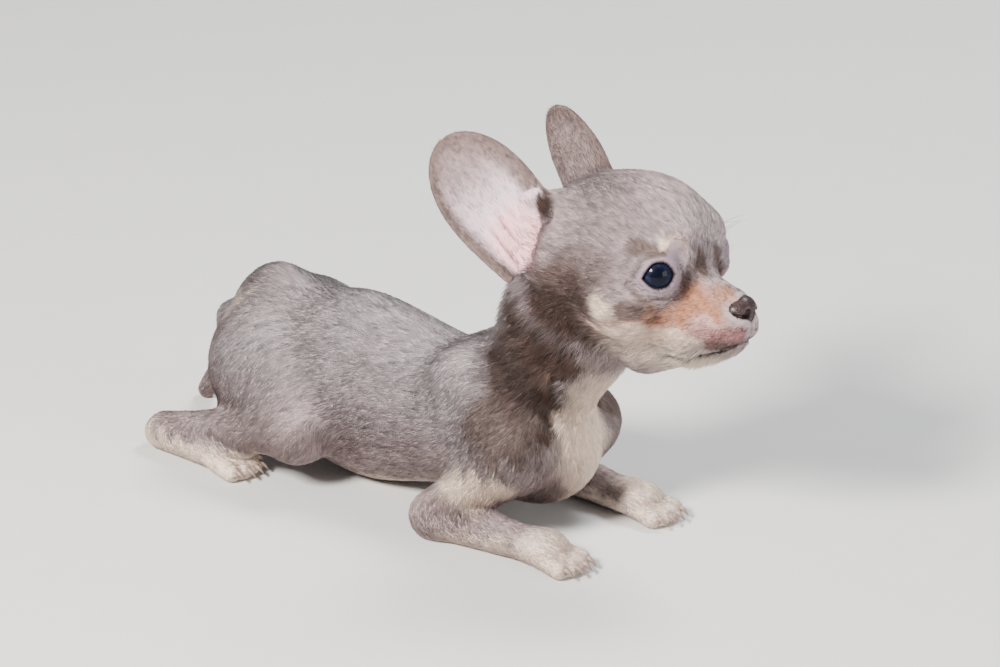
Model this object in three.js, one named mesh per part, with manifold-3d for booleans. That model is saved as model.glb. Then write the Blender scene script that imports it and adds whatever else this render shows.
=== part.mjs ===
// A life-size chihuahua puppy, six weeks old, crouched on the floor on its forearms, belly and hind feet.
// Its head is up and turned a little to its left. Lengths are in millimetres, +X forward, +Y to its left, +Z up.
//
// The body is one smooth field of balls and limbs. Each node is that field turned into a mesh at its own
// fineness, kept inside its own region, with a thin gap to the regions next to it.
import * as THREE from "three";
import Module from "manifold-3d";
import { mergeVertices } from "three/addons/utils/BufferGeometryUtils.js";

const wasm = await Module();
wasm.setup();

// Driving dimensions
const GAP = 0.3;
const FLOOR = 0;
const SIDES = { right: -1, left: 1 };

// The head's own frame: forward, left and up from the middle of the cranium
const HEAD = {
  centre: [49.6, 2, 103],
  turn: 5,
  roll: 8,
};
const EYE = {
  place: [19.2, 15.2, -1.6],
  radius: 6.8,
  lid: 1.3,
  axis: [0.62, 0.78, 0.08],
  opening: [5.7, 4.8],
  slant: 10,
};
const EAR = {
  root: [-24, 15.5, -3],
  tip: [-51.5, 31.5, 29.5],
  facing: [0.5, 0.85, 0.1],
  halfWidth: 16,
  rootCurl: 66,
  tipCurl: 30,
  rootThick: 2.4,
  rimThick: 1.3,
};
const MOUTH = {
  line: [
    [56, -13.5],
    [46.5, -16.8],
    [43.5, -20],
    [38, -24],
    [30, -27],
    [21, -28.5],
  ],
  slot: 0.35,
};

// Leg joints on the animal's left; the right side mirrors them
const FORELEG = {
  scapula: [-6, 12, 50],
  shoulder: [20, 19, 31],
  elbow: [-4, 28, 7.6],
  wrist: [30, 25, 5.6],
};
const HINDLEG = {
  hip: [-90, 14, 41],
  knee: [-62, 29, 21],
  hock: [-122, 29, 5.3],
  ball: [-95, 31, 5.5],
};
const TOE = { reach: 9.5, radius: 3.2, spread: 3.9, height: 3 };
const CLAW = { length: 4, radius: 0.9 };

// Fineness of each node's mesh
const STEP = {
  torso: 6.8,
  neck: 5.8,
  head: 4,
  jaw: 3,
  nose: 2.4,
  shoulder: 5.6,
  leg: 4.3,
  thigh: 5.8,
  paw: 2.8,
  tail: 4,
};

// Shapes of the field: a ball is an ellipsoid, a limb a capsule between two radii
const ball = (centre, radii, blend) => ({ centre, radii, blend });
const limb = (from, to, radiusFrom, radiusTo, blend) => ({ from, to, radiusFrom, radiusTo, blend });
const mirrored = (point, side) => [point[0], point[1] * side, point[2]];

function distanceTo(shape, x, y, z) {
  if (shape.radii) {
    const [rx, ry, rz] = shape.radii;
    const px = (x - shape.centre[0]) / rx;
    const py = (y - shape.centre[1]) / ry;
    const pz = (z - shape.centre[2]) / rz;
    const near = Math.hypot(px, py, pz);
    const slope = Math.hypot(px / rx, py / ry, pz / rz);
    return slope < 1e-9 ? -Math.min(rx, ry, rz) : (near * (near - 1)) / slope;
  }
  const { from, to } = shape;
  const ax = to[0] - from[0];
  const ay = to[1] - from[1];
  const az = to[2] - from[2];
  const bx = x - from[0];
  const by = y - from[1];
  const bz = z - from[2];
  const share = (ax * bx + ay * by + az * bz) / (ax * ax + ay * ay + az * az);
  const t = Math.min(1, Math.max(0, share));
  const radius = shape.radiusFrom + t * (shape.radiusTo - shape.radiusFrom);
  return Math.hypot(bx - ax * t, by - ay * t, bz - az * t) - radius;
}

function blended(a, b, reach) {
  const overlap = Math.max(reach - Math.abs(a - b), 0) / reach;
  return Math.min(a, b) - (overlap * overlap * reach) / 4;
}

// Trunk and neck
const trunk = [
  ball([-12, 0, 31], [40, 26, 23.5], 12),
  ball([18, 0, 29.5], [20, 18, 20.5], 12),
  ball([-50, 0, 30.4], [38, 25.7, 30.6], 12),
  ball([-66, 0, 35], [24, 24, 24], 12),
  ball([-93.5, 0, 42.8], [17.2, 16, 22], 12),
  limb([0, 0, 41.3], [26.6, 1, 67], 16.6, 17.9, 14),
  limb([26.6, 1, 67], [42, 2, 88], 17.4, 19, 12),
  ball([24.7, 1, 79.8], [16, 16, 17], 11.5),
];

function forelegShapes(side) {
  const at = (point) => mirrored(point, side);
  const { scapula, shoulder, elbow, wrist } = FORELEG;
  return [
    limb(at(scapula), at(shoulder), 9, 10.8, 9),
    limb(at(shoulder), at(elbow), 10.8, 8.2, 8),
    limb(at(elbow), at(wrist), 8, 6, 5),
    ball(at([wrist[0] + 7.5, wrist[1], 6.2]), [8.5, 8, 6.4], 4),
    ...toes(at([wrist[0] + 9, wrist[1], 0])),
  ];
}

function hindlegShapes(side) {
  const at = (point) => mirrored(point, side);
  const { hip, knee, hock, ball: pad } = HINDLEG;
  return [
    ball(at([-84.5, 17, 30.3]), [24.5, 13.5, 20], 8),
    limb(at(hip), at(knee), 14, 10.5, 10),
    limb(at(knee), at([hock[0] + 2, hock[1], hock[2] + 3]), 9, 5.4, 6),
    limb(at(hock), at(pad), 5.6, 5.9, 5),
    ball(at([pad[0] + 1, pad[1] - 1, 10]), [13, 6.5, 6], 5),
    ...toes(at([pad[0] + 2, pad[1], 0])),
  ];
}

const TOE_SLOTS = [-1.5, -0.5, 0.5, 1.5];
function toePlaces(root) {
  return TOE_SLOTS.map((slot) => {
    const reach = TOE.reach - Math.abs(slot) * 1.5 + 1.5;
    const fan = slot * TOE.spread;
    return {
      start: [root[0], root[1] + fan * 0.75, TOE.height + 1.4],
      end: [root[0] + reach, root[1] + fan, TOE.height],
    };
  });
}
const toes = (root) =>
  toePlaces(root).map(({ start, end }) => limb(start, end, TOE.radius, TOE.radius, 1.6));

const tailPath = [
  [-104, 2, 46.5],
  [-120, 6, 37],
  [-129, 10, 16],
  [-139, 13, 2.9],
];
const TAIL_RADII = [7.8, 5.4, 4.2, 3.2];
const tailShapes = [0, 1, 2].map((i) =>
  limb(tailPath[i], tailPath[i + 1], TAIL_RADII[i], TAIL_RADII[i + 1], i ? 3 : 6),
);

const bodyShapes = [
  ...trunk,
  ...Object.values(SIDES).flatMap((side) => [...forelegShapes(side), ...hindlegShapes(side)]),
  ...tailShapes,
];

// Head, in its own frame
const headShapes = [
  ball([-2.5, 0, -0.5], [28, 24.8, 24.2], 10),
  ball([8, 0, 4], [20, 20.5, 19.5], 8),
  limb([18, 0, -12], [37.8, 0, -13], 14, 7, 7),
  limb([22, 0, -7], [39.5, 0, -9.9], 5.3, 4.2, 4),
  limb([10, 0, -27.4], [39.2, 0, -21.4], 11.2, 5.4, 5),
  ...Object.values(SIDES).flatMap((side) => [
    ball([9, 15.5 * side, -12], [13, 11, 12], 9),
    ball([20, 10.5 * side, 7], [7.5, 8, 7], 6),
    limb([25, 8 * side, -19.5], [41, 3.6 * side, -16.4], 7, 4.8, 5),
    ball([-19, 17 * side, 2], [11, 8.5, 15], 8),
    ball(mirrored(EYE.place, side), Array(3).fill(EYE.radius + EYE.lid), 3),
  ]),
];
const noseShapes = [
  ball([42.6, 0, -11.2], [4.2, 4.8, 4.6], 2),
  ...Object.values(SIDES).map((side) => ball([41.4, 3.5 * side, -12], [4, 2.8, 3.6], 1.5)),
  limb([43.4, 0, -13.4], [43.2, 0, -16.8], 2.2, 1.3, 1.5),
];

const headMatrix = new THREE.Matrix4()
  .makeTranslation(...HEAD.centre)
  .multiply(new THREE.Matrix4().makeRotationZ(THREE.MathUtils.degToRad(HEAD.turn)))
  .multiply(new THREE.Matrix4().makeRotationX(THREE.MathUtils.degToRad(-HEAD.roll)));
const intoHead = headMatrix.clone().invert();

const sum = (shapes, x, y, z) =>
  shapes.reduce((d, shape) => blended(d, distanceTo(shape, x, y, z), shape.blend), 1e3);

const point = new THREE.Vector3();
function wholeField(x, y, z) {
  const body = sum(bodyShapes, x, y, z);
  point.set(x, y, z).applyMatrix4(intoHead);
  return blended(body, sum(headShapes, point.x, point.y, point.z), 7);
}

function geometryOf(vertices, faces) {
  return new THREE.BufferGeometry()
    .setAttribute("position", new THREE.BufferAttribute(new Float32Array(vertices), 3))
    .setIndex(faces);
}

// Between three.js geometries and manifold solids
function solidOf(geometry) {
  const bare = geometry.clone();
  bare.deleteAttribute("normal");
  bare.deleteAttribute("uv");
  const merged = mergeVertices(bare, 1e-4);
  return new wasm.Manifold(
    new wasm.Mesh({
      numProp: 3,
      vertProperties: merged.attributes.position.array,
      triVerts: new Uint32Array(merged.index.array),
    }),
  );
}

// The field's surface inside a box, closed by the box where the body runs on past it
const LEVEL_TOLERANCE = 0.02;
function fieldSolid(field, low, high, step) {
  const inside = ([x, y, z]) => -field(x, y, z);
  return wasm.Manifold.levelSet(inside, { min: low, max: high }, step, 0, LEVEL_TOLERANCE);
}

// The largest closed surface of a solid, with facets that are as good as flat joined. Where that makes two
// sheets touch along an edge, fewer are joined.
const FLATNESS = [0.2, 0.16, 0.12, 0.08, 0.04];
function largest(solid) {
  for (const flat of FLATNESS) {
    const [biggest] = solid
      .simplify(flat)
      .decompose()
      .sort((a, b) => b.volume() - a.volume());
    if (!touchesItself(biggest)) return biggest;
  }
  throw new Error("a node's surface touches itself");
}

function touchesItself(solid) {
  const { vertProperties, triVerts } = solid.getMesh();
  const spot = (corner) =>
    Array.from(vertProperties.slice(3 * corner, 3 * corner + 3), (v) => Math.round(v * 1e4)).join();
  const spots = Array.from({ length: vertProperties.length / 3 }, (_, corner) => spot(corner));
  const used = new Set();
  for (let i = 0; i < triVerts.length; i += 3)
    for (let side = 0; side < 3; side++) {
      const edge = `${spots[triVerts[i + side]]} ${spots[triVerts[i + ((side + 1) % 3)]]}`;
      if (used.has(edge)) return true;
      used.add(edge);
    }
  return false;
}

// Regions: a block is a turned box, a plug runs outwards from the body's side, a slab is an outline in the
// head's side view with its own thickness
const DEGREES = Math.PI / 180;
function block(centre, size, turn = 0, grow = 0) {
  const geometry = new THREE.BoxGeometry(...size.map((s) => s + 2 * grow));
  return solidOf(geometry.rotateY(turn * DEGREES).translate(...centre));
}

const PLUG_LENGTH = 60;
function plug(side, centre, radii, depth, grow = 0) {
  const outline = new THREE.Shape().absellipse(...centre, radii[0] + grow, radii[1] + grow, 0, 2 * Math.PI);
  const options = { depth: PLUG_LENGTH, bevelEnabled: false, curveSegments: 18 };
  const geometry = new THREE.ExtrudeGeometry(outline, options).rotateX(Math.PI / 2);
  const outwards = side > 0 ? PLUG_LENGTH + depth - grow : -depth + grow;
  return solidOf(geometry.translate(0, outwards, 0));
}

function headSlab(outline, halfWidth) {
  const shape = new THREE.Shape(outline.map((p) => new THREE.Vector2(...p)));
  const options = { depth: 2 * halfWidth, bevelEnabled: false };
  const geometry = new THREE.ExtrudeGeometry(shape, options).rotateX(Math.PI / 2);
  return solidOf(geometry.translate(0, halfWidth, 0).applyMatrix4(headMatrix));
}

function legRegions(side, grow) {
  const at = (p) => mirrored(p, side);
  return {
    forepaw: block(at([47, 33, 5]), [32, 34, 24], 0, grow),
    forearm: block(at([7, 31.5, 5]), [48, 29, 25], 0, grow),
    shoulder: plug(side, [7, 34], [24, 22], 16, grow),
    hindpaw: block(at([-84, 34, 2.5]), [32, 30, 16], 0, grow),
    shank: block(at([-120, 32, 5]), [40, 30, 26], 0, grow),
    thigh: plug(side, [-85, 32], [30, 25], 13, grow),
  };
}

const NECK_PLANES = { head: 39, trunk: 27 };
const trunkRegions = (grow) => ({
  tail: block([-142.3, 3, 55.4], [60, 32, 160], 16.3, grow),
  head: block([72.8, 2, 127.6], [160, 120, 120], NECK_PLANES.head, grow),
  neck: block([33.2, 2, 85.6], [140, 100, 80], NECK_PLANES.trunk, grow),
});

function jawRegion(grow) {
  const line = MOUTH.line.map(([f, v]) => [f, v + grow]);
  const [back] = MOUTH.line.slice(-1);
  return headSlab([...line, [back[0] - grow, back[1]], [15 - grow, -60], [60, -60]], 30);
}

// Nodes of flesh, each cut from the whole in turn
const nodes = new Map();
let taken = block([0, 0, FLOOR - 50], [600, 400, 100]);
function carve(name, region, grown, low, high, step) {
  const solid = fieldSolid(wholeField, low, high, step);
  nodes.set(name, largest(solid.intersect(region).subtract(taken)));
  taken = taken.add(grown);
}

const legBoxes = {
  forepaw: [[26, 10, -5], [64, 46, 18], STEP.paw],
  forearm: [[-22, 12, -5], [36, 48, 24], STEP.leg],
  shoulder: [[-26, 10, -5], [44, 48, 66], STEP.shoulder],
  hindpaw: [[-104, 14, -5], [-64, 52, 16], STEP.paw],
  shank: [[-144, 12, -5], [-94, 52, 24], STEP.leg],
  thigh: [[-122, 8, -5], [-48, 50, 68], STEP.thigh],
};
for (const [sideName, side] of Object.entries(SIDES)) {
  const regions = legRegions(side, 0);
  const grown = legRegions(side, GAP);
  for (const [name, region] of Object.entries(regions)) {
    const [low, high, step] = legBoxes[name];
    const [near, far] = [low[1] * side, high[1] * side].sort((a, b) => a - b);
    const box = [
      [low[0], near, low[2]],
      [high[0], far, high[2]],
    ];
    carve(`${name}_${sideName}`, region, grown[name], ...box, step);
  }
}

const noseField = (x, y, z) => {
  point.set(x, y, z).applyMatrix4(intoHead);
  return sum(noseShapes, point.x, point.y, point.z);
};
const inHead = (solid) => solidOf(geometryFrom(solid).applyMatrix4(headMatrix));
function geometryFrom(solid) {
  const made = solid.getMesh();
  return geometryOf(made.vertProperties, Array.from(made.triVerts));
}
const sphere = (centre, radii, fineness = 12) =>
  solidOf(
    new THREE.SphereGeometry(1, fineness, Math.round(fineness * 0.7))
      .scale(...radii)
      .translate(...centre),
  );

// The nose, with a comma-shaped nostril on each side
const NOSE_BOX = [
  [80, -10, 78],
  [104, 20, 104],
];
const nostrils = Object.values(SIDES).flatMap((side) => [
  sphere([46, 2.6 * side, -12], [2.4, 1.2, 1.5]),
  sphere([43.8, 5.1 * side, -12.6], [2.4, 1.7, 0.75]),
]);
const nose = fieldSolid(noseField, ...NOSE_BOX, STEP.nose);
nodes.set("nose", largest(nostrils.reduce((s, cut) => s.subtract(inHead(cut)), nose)));
taken = taken.add(fieldSolid((x, y, z) => noseField(x, y, z) - GAP, ...NOSE_BOX, STEP.nose));

// The eyes, each in a socket that opens through an almond-shaped slit between the lids
function eyeFrame(side) {
  const axis = new THREE.Vector3(...mirrored(EYE.axis, side)).normalize();
  const across = new THREE.Vector3(0, 0, 1).cross(axis).normalize();
  const upwards = axis.clone().cross(across);
  const frame = new THREE.Matrix4().makeBasis(across, upwards, axis);
  return frame.setPosition(...mirrored(EYE.place, side));
}
function almond(side) {
  const [length, height] = EYE.opening;
  const shape = new THREE.Shape();
  shape.moveTo(-length, 0);
  shape.quadraticCurveTo(0, 2 * height * 1.04, length, 0);
  shape.quadraticCurveTo(0, -2 * height * 0.9, -length, 0);
  const geometry = new THREE.ExtrudeGeometry(shape, { depth: 14, bevelEnabled: false, curveSegments: 7 });
  geometry.rotateZ(EYE.slant * DEGREES * -side).applyMatrix4(eyeFrame(side));
  return solidOf(geometry.applyMatrix4(headMatrix));
}
for (const [sideName, side] of Object.entries(SIDES)) {
  const place = mirrored(EYE.place, side);
  const ballOf = (radius) => inHead(sphere(place, [radius, radius, radius], 16));
  nodes.set(`eye_${sideName}`, ballOf(EYE.radius));
  taken = taken.add(ballOf(EYE.radius + GAP)).add(almond(side));
}

// Each ear, a cup at its root that opens out to a flat leaf
const EAR_ROWS = 12;
const EAR_COLUMNS = 10;
const EAR_BROADEST = 0.42;
function earHalfWidth(s) {
  const past = Math.max(0, (s - EAR_BROADEST) / (1 - EAR_BROADEST));
  const body = 0.92 + 0.08 * Math.sin((Math.PI / 2) * Math.min(1, s / EAR_BROADEST));
  return EAR.halfWidth * body * Math.sqrt(Math.max(1 - past * past, 0.005));
}
function earShell(side) {
  const root = new THREE.Vector3(...mirrored(EAR.root, side));
  const along = new THREE.Vector3(...mirrored(EAR.tip, side)).sub(root);
  const facing = new THREE.Vector3(...mirrored(EAR.facing, side));
  facing.addScaledVector(along, -facing.dot(along) / along.lengthSq()).normalize();
  const across = along.clone().normalize().cross(facing);
  const vertices = [];
  for (const face of [-1, 1])
    for (let row = 0; row <= EAR_ROWS; row++)
      for (let column = 0; column <= EAR_COLUMNS; column++) {
        const s = 1 - (1 - row / EAR_ROWS) ** 1.25;
        const curl = THREE.MathUtils.lerp(EAR.rootCurl, EAR.tipCurl, Math.min(1, s * 1.3)) * DEGREES;
        const thick = THREE.MathUtils.lerp(EAR.rootThick, EAR.rimThick, Math.min(1, s * 1.4));
        const radius = earHalfWidth(s) / curl;
        const reach = radius + (face * thick) / 2;
        const sweep = curl * ((2 * column) / EAR_COLUMNS - 1);
        const p = root
          .clone()
          .addScaledVector(along, s)
          .addScaledVector(across, reach * Math.sin(sweep))
          .addScaledVector(facing, radius - reach * Math.cos(sweep));
        vertices.push(p.x, p.y, p.z);
      }
  return inHead(solidOf(shellGeometry(vertices, EAR_ROWS, EAR_COLUMNS)));
}

// Two faces of rows and columns, closed along all four edges
function shellGeometry(vertices, rows, columns) {
  const at = (face, row, column) => column + (columns + 1) * (row + (rows + 1) * face);
  const faces = [];
  const quad = (a, b, c, d) => faces.push(a, b, c, a, c, d);
  for (let r = 0; r < rows; r++)
    for (let c = 0; c < columns; c++) {
      quad(at(0, r, c), at(0, r, c + 1), at(0, r + 1, c + 1), at(0, r + 1, c));
      quad(at(1, r, c), at(1, r + 1, c), at(1, r + 1, c + 1), at(1, r, c + 1));
    }
  for (let r = 0; r < rows; r++) {
    quad(at(0, r, 0), at(0, r + 1, 0), at(1, r + 1, 0), at(1, r, 0));
    quad(at(0, r, columns), at(1, r, columns), at(1, r + 1, columns), at(0, r + 1, columns));
  }
  for (let c = 0; c < columns; c++) {
    quad(at(0, 0, c), at(1, 0, c), at(1, 0, c + 1), at(0, 0, c + 1));
    quad(at(0, rows, c), at(0, rows, c + 1), at(1, rows, c + 1), at(1, rows, c));
  }
  return geometryOf(vertices, faces);
}

const HEAD_BOX = [
  [0, -44, 36],
  [116, 48, 138],
];
const trunkRegion = trunkRegions(0);
const trunkGrown = trunkRegions(GAP);
const headAndEars = fieldSolid((x, y, z) => wholeField(x, y, z) - GAP, ...HEAD_BOX, STEP.head);
for (const [sideName, side] of Object.entries(SIDES))
  nodes.set(`ear_${sideName}`, largest(earShell(side).subtract(headAndEars)));

carve("lower_jaw", jawRegion(0), jawRegion(MOUTH.slot), ...HEAD_BOX, STEP.jaw);
carve("tail", trunkRegion.tail, trunkGrown.tail, [-156, -16, -6], [-96, 30, 68], STEP.tail);
carve("head", trunkRegion.head, trunkGrown.head, ...HEAD_BOX, STEP.head);
carve("neck", trunkRegion.neck, trunkGrown.neck, [-34, -42, 20], [76, 44, 124], STEP.neck);
const rest = fieldSolid(wholeField, [-130, -50, -8], [66, 50, 90], STEP.torso);
nodes.set("torso", largest(rest.subtract(taken)));

// Claws, joined to the paws
function withClaws(paw, root) {
  return toePlaces(root).reduce((solid, { end }) => {
    const cone = new THREE.ConeGeometry(CLAW.radius, CLAW.length, 6).rotateZ(-Math.PI / 2 - 0.55);
    cone.translate(end[0] + TOE.radius + 0.7, end[1], end[2] + 0.3);
    return solid.add(solidOf(cone));
  }, paw);
}
for (const [sideName, side] of Object.entries(SIDES)) {
  const foreRoot = mirrored([FORELEG.wrist[0] + 9, FORELEG.wrist[1], 0], side);
  const hindRoot = mirrored([HINDLEG.ball[0] + 2, HINDLEG.ball[1], 0], side);
  for (const [name, root] of [["forepaw", foreRoot], ["hindpaw", hindRoot]]) {
    const key = `${name}_${sideName}`;
    nodes.set(key, largest(withClaws(nodes.get(key), root)));
  }
}

// Colours of the nodes
const look = (colour, roughness) =>
  new THREE.MeshStandardMaterial({ color: colour, roughness, metalness: 0 });
const LOOKS = {
  coat: look(0x8f8078, 0.85),
  paw: look(0xcdb49c, 0.85),
  ear: look(0xb09a90, 0.8),
  eye: look(0x1c2438, 0.1),
  nose: look(0x4a2a2c, 0.4),
};
const lookOf = (name) => {
  if (name.startsWith("eye")) return LOOKS.eye;
  if (name.startsWith("ear")) return LOOKS.ear;
  if (name.includes("paw") || name === "lower_jaw") return LOOKS.paw;
  return name === "nose" ? LOOKS.nose : LOOKS.coat;
};

// The whole stands over the origin by the middle of its bounding box
const group = new THREE.Group();
for (const [name, solid] of nodes) {
  const mesh = new THREE.Mesh(geometryFrom(solid), lookOf(name));
  mesh.name = name;
  group.add(mesh);
}
const bounds = new THREE.Box3().setFromObject(group);
const middle = bounds.getCenter(new THREE.Vector3());
for (const mesh of group.children) mesh.geometry.translate(-middle.x, -middle.y, 0);

export default group;
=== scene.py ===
import math

import bpy
import numpy as np
from bpy.props import FloatProperty, FloatVectorProperty, IntProperty, PointerProperty
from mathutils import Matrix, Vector
from mathutils.kdtree import KDTree


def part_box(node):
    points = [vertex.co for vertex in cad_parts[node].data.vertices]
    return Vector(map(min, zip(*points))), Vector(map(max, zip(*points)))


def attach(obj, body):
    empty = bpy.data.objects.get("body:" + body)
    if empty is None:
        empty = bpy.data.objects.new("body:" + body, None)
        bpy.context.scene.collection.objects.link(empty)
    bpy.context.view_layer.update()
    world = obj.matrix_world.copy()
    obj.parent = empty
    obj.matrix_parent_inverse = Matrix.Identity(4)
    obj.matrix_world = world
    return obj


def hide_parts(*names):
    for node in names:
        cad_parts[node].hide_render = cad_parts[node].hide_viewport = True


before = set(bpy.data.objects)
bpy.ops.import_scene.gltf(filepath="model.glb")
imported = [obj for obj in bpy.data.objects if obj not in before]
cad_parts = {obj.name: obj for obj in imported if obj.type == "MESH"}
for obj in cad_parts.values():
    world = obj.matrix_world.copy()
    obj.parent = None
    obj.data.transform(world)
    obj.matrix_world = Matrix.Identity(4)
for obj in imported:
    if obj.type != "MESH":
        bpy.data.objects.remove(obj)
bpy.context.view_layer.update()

bl_info = {
    "name": "Chihuahua puppy",
    "version": (1, 0, 0),
    "blender": (4, 5, 0),
    "location": "3D View > Sidebar > Puppy",
    "description": "Builds a still, life-size chihuahua puppy with a short coat",
    "category": "Add Mesh",
}

MM = 0.001
FOREPAW_BACK = 31.0
SHIFT = np.array([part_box("forepaw_left")[0].x / MM - FOREPAW_BACK, 0.0, 0.0])
FLOOR_CLEAR = 0.15
SIDES = {"right": -1, "left": 1}

# The head's own frame: forward, left and up from the middle of the cranium
HEAD_CENTRE = np.array([49.6, 2.0, 103.0])
HEAD_TURN = math.radians(5)
HEAD_ROLL = math.radians(8)


def head_axes():
    """Columns are the head's forward, left and up."""
    turn = np.array([
        [math.cos(HEAD_TURN), -math.sin(HEAD_TURN), 0],
        [math.sin(HEAD_TURN), math.cos(HEAD_TURN), 0],
        [0, 0, 1],
    ])
    roll = np.array([
        [1, 0, 0],
        [0, math.cos(HEAD_ROLL), math.sin(HEAD_ROLL)],
        [0, -math.sin(HEAD_ROLL), math.cos(HEAD_ROLL)],
    ])
    return turn @ roll


HEAD_AXES = head_axes()


def into_head(points):
    return (points - HEAD_CENTRE) @ HEAD_AXES


def out_of_head(points):
    return points @ HEAD_AXES.T + HEAD_CENTRE


def unit(vectors):
    vectors = np.asarray(vectors, float)
    return vectors / np.maximum(np.linalg.norm(vectors, axis=-1, keepdims=True), 1e-9)


def smooth(value, low, high):
    """0 below low, 1 above high, and a soft step between."""
    t = np.clip((value - low) / (high - low), 0, 1)
    return t * t * (3 - 2 * t)


# Shapes of the body: each has a distance and the way the coat lies on it
class Ball:
    def __init__(self, centre, radii, blend, lie=(-1, 0, -0.35)):
        self.centre = np.array(centre, float)
        self.radii = np.broadcast_to(np.array(radii, float), 3)
        self.blend = blend
        self.lie = unit(lie)
        self.reach = self.radii.max()

    def distance(self, points):
        q = (points - self.centre) / self.radii
        near = np.linalg.norm(q, axis=-1)
        slope = np.linalg.norm(q / self.radii, axis=-1)
        return near * (near - 1) / np.maximum(slope, 1e-9)


class Limb:
    def __init__(self, start, end, start_radius, end_radius, blend, lie=None):
        self.start = np.array(start, float)
        self.along = np.array(end, float) - self.start
        self.radii = (start_radius, end_radius)
        self.blend = blend
        self.lie = unit(self.along if lie is None else lie)
        self.centre = self.start + self.along / 2
        self.reach = np.linalg.norm(self.along) / 2 + max(self.radii)

    def distance(self, points):
        q = points - self.start
        t = np.clip(q @ self.along / (self.along @ self.along), 0, 1)
        radius = self.radii[0] + t * (self.radii[1] - self.radii[0])
        return np.linalg.norm(q - t[:, None] * self.along, axis=-1) - radius


def mirrored(point, side):
    return np.array([point[0], point[1] * side, point[2]], float)


def folded(points):
    """Both sides of the body laid onto the left one."""
    return np.abs(points * [0, 1, 0]) + points * [1, 0, 1]


def blended(a, b, reach):
    overlap = np.maximum(reach - np.abs(a - b), 0) / reach
    return np.minimum(a, b) - overlap * overlap * reach / 4


def carved(a, b, reach):
    """What is in a and not in b, with the edge between them rounded."""
    return -blended(-a, b, reach)


FAR = 1e3
MARGIN = 14.0


def joined(shapes, points):
    """Distance to shapes that run into one another. Far off it stays at FAR."""
    total = np.full(len(points), FAR)
    for shape in shapes:
        near = np.linalg.norm(points - shape.centre, axis=-1) < shape.reach + MARGIN
        if near.any():
            total[near] = blended(total[near], shape.distance(points[near]), shape.blend)
    return total


# Trunk, neck, legs and tail, with the numbers of the solids
TO_TOE = (1, 0, -0.1)
DOWN_NECK = (-0.55, 0, -0.8)
TRUNK = [
    Ball([-12, 0, 31], [40, 26, 23.5], 12),
    Ball([18, 0, 29.5], [20, 18, 20.5], 12, (-0.3, 0, -1)),
    Ball([-50, 0, 30.4], [38, 25.7, 30.6], 12),
    Ball([-66, 0, 35], [24, 24, 24], 12),
    Ball([-93.5, 0, 42.8], [17.2, 16, 22], 12),
    Limb([0, 0, 41.3], [26.6, 1, 67], 16.6, 17.9, 14, (-0.9, 0, -0.5)),
]
NECK = [
    Limb([26.6, 1, 67], [42, 2, 88], 17.4, 19, 12, DOWN_NECK),
    Ball([24.7, 1, 79.8], [16, 16, 17], 11.5, DOWN_NECK),
]
SCAPULA, SHOULDER, ELBOW, WRIST = [-6, 12, 50], [20, 19, 31], [-4, 28, 7.6], [30, 25, 5.6]
HIP, KNEE, HOCK, PAD = [-90, 14, 41], [-62, 29, 21], [-122, 29, 5.3], [-95, 31, 5.5]
TOE_SLOTS = (-1.5, -0.5, 0.5, 1.5)
TOE_REACH, TOE_RADIUS, TOE_SPREAD, TOE_HEIGHT = 9.5, 3.2, 3.9, 3.0
FORE_TOES = [WRIST[0] + 9, WRIST[1], 0]
HIND_TOES = [PAD[0] + 2, PAD[1], 0]


def toe_places(root):
    """Start and end of each toe of a paw."""
    for slot in TOE_SLOTS:
        reach = TOE_REACH - abs(slot) * 1.5 + 1.5
        fan = slot * TOE_SPREAD
        start = np.array([root[0], root[1] + fan * 0.75, TOE_HEIGHT + 1.4])
        yield start, np.array([root[0] + reach, root[1] + fan, TOE_HEIGHT])


def toes(root):
    lie = (1, 0, -0.3)
    return [Limb(start, end, TOE_RADIUS, TOE_RADIUS, 1.6, lie) for start, end in toe_places(root)]


def foreleg(side):
    def at(point):
        return mirrored(point, side)
    return [
        Limb(at(SCAPULA), at(SHOULDER), 9, 10.8, 9, (-0.35, 0, -1)),
        Limb(at(SHOULDER), at(ELBOW), 10.8, 8.2, 8, (-0.5, 0, -1)),
        Limb(at(ELBOW), at(WRIST), 8, 6, 5, (1, 0, -0.15)),
        Ball(at([WRIST[0] + 7.5, WRIST[1], 6.2]), [8.5, 8, 6.4], 4, TO_TOE),
        *toes(at(FORE_TOES)),
    ]


def hindleg(side):
    def at(point):
        return mirrored(point, side)
    return [
        Ball(at([-84.5, 17, 30.3]), [24.5, 13.5, 20], 8, (-0.55, 0, -1)),
        Limb(at(HIP), at(KNEE), 14, 10.5, 10, (-0.3, 0, -1)),
        Limb(at(KNEE), at([HOCK[0] + 2, HOCK[1], HOCK[2] + 3]), 9, 5.4, 6, (-1, 0, -0.4)),
        Limb(at(HOCK), at(PAD), 5.6, 5.9, 5, (1, 0, 0)),
        Ball(at([PAD[0] + 1, PAD[1] - 1, 10]), [13, 6.5, 6], 5, TO_TOE),
        *toes(at(HIND_TOES)),
    ]


TAIL_PATH = [[-104, 2, 46.5], [-120, 6, 37], [-129, 10, 16], [-139, 13, 2.9]]
TAIL_RADII = [7.8, 5.4, 4.2, 3.2]
TAIL = [
    Limb(TAIL_PATH[i], TAIL_PATH[i + 1], TAIL_RADII[i], TAIL_RADII[i + 1], 3 if i else 6)
    for i in range(3)
]
LEGS = {
    f"{kind}_{name}": made(side)
    for name, side in SIDES.items()
    for kind, made in (("foreleg", foreleg), ("hindleg", hindleg))
}
BODY = [*TRUNK, *NECK, *(shape for leg in LEGS.values() for shape in leg), *TAIL]

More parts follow.
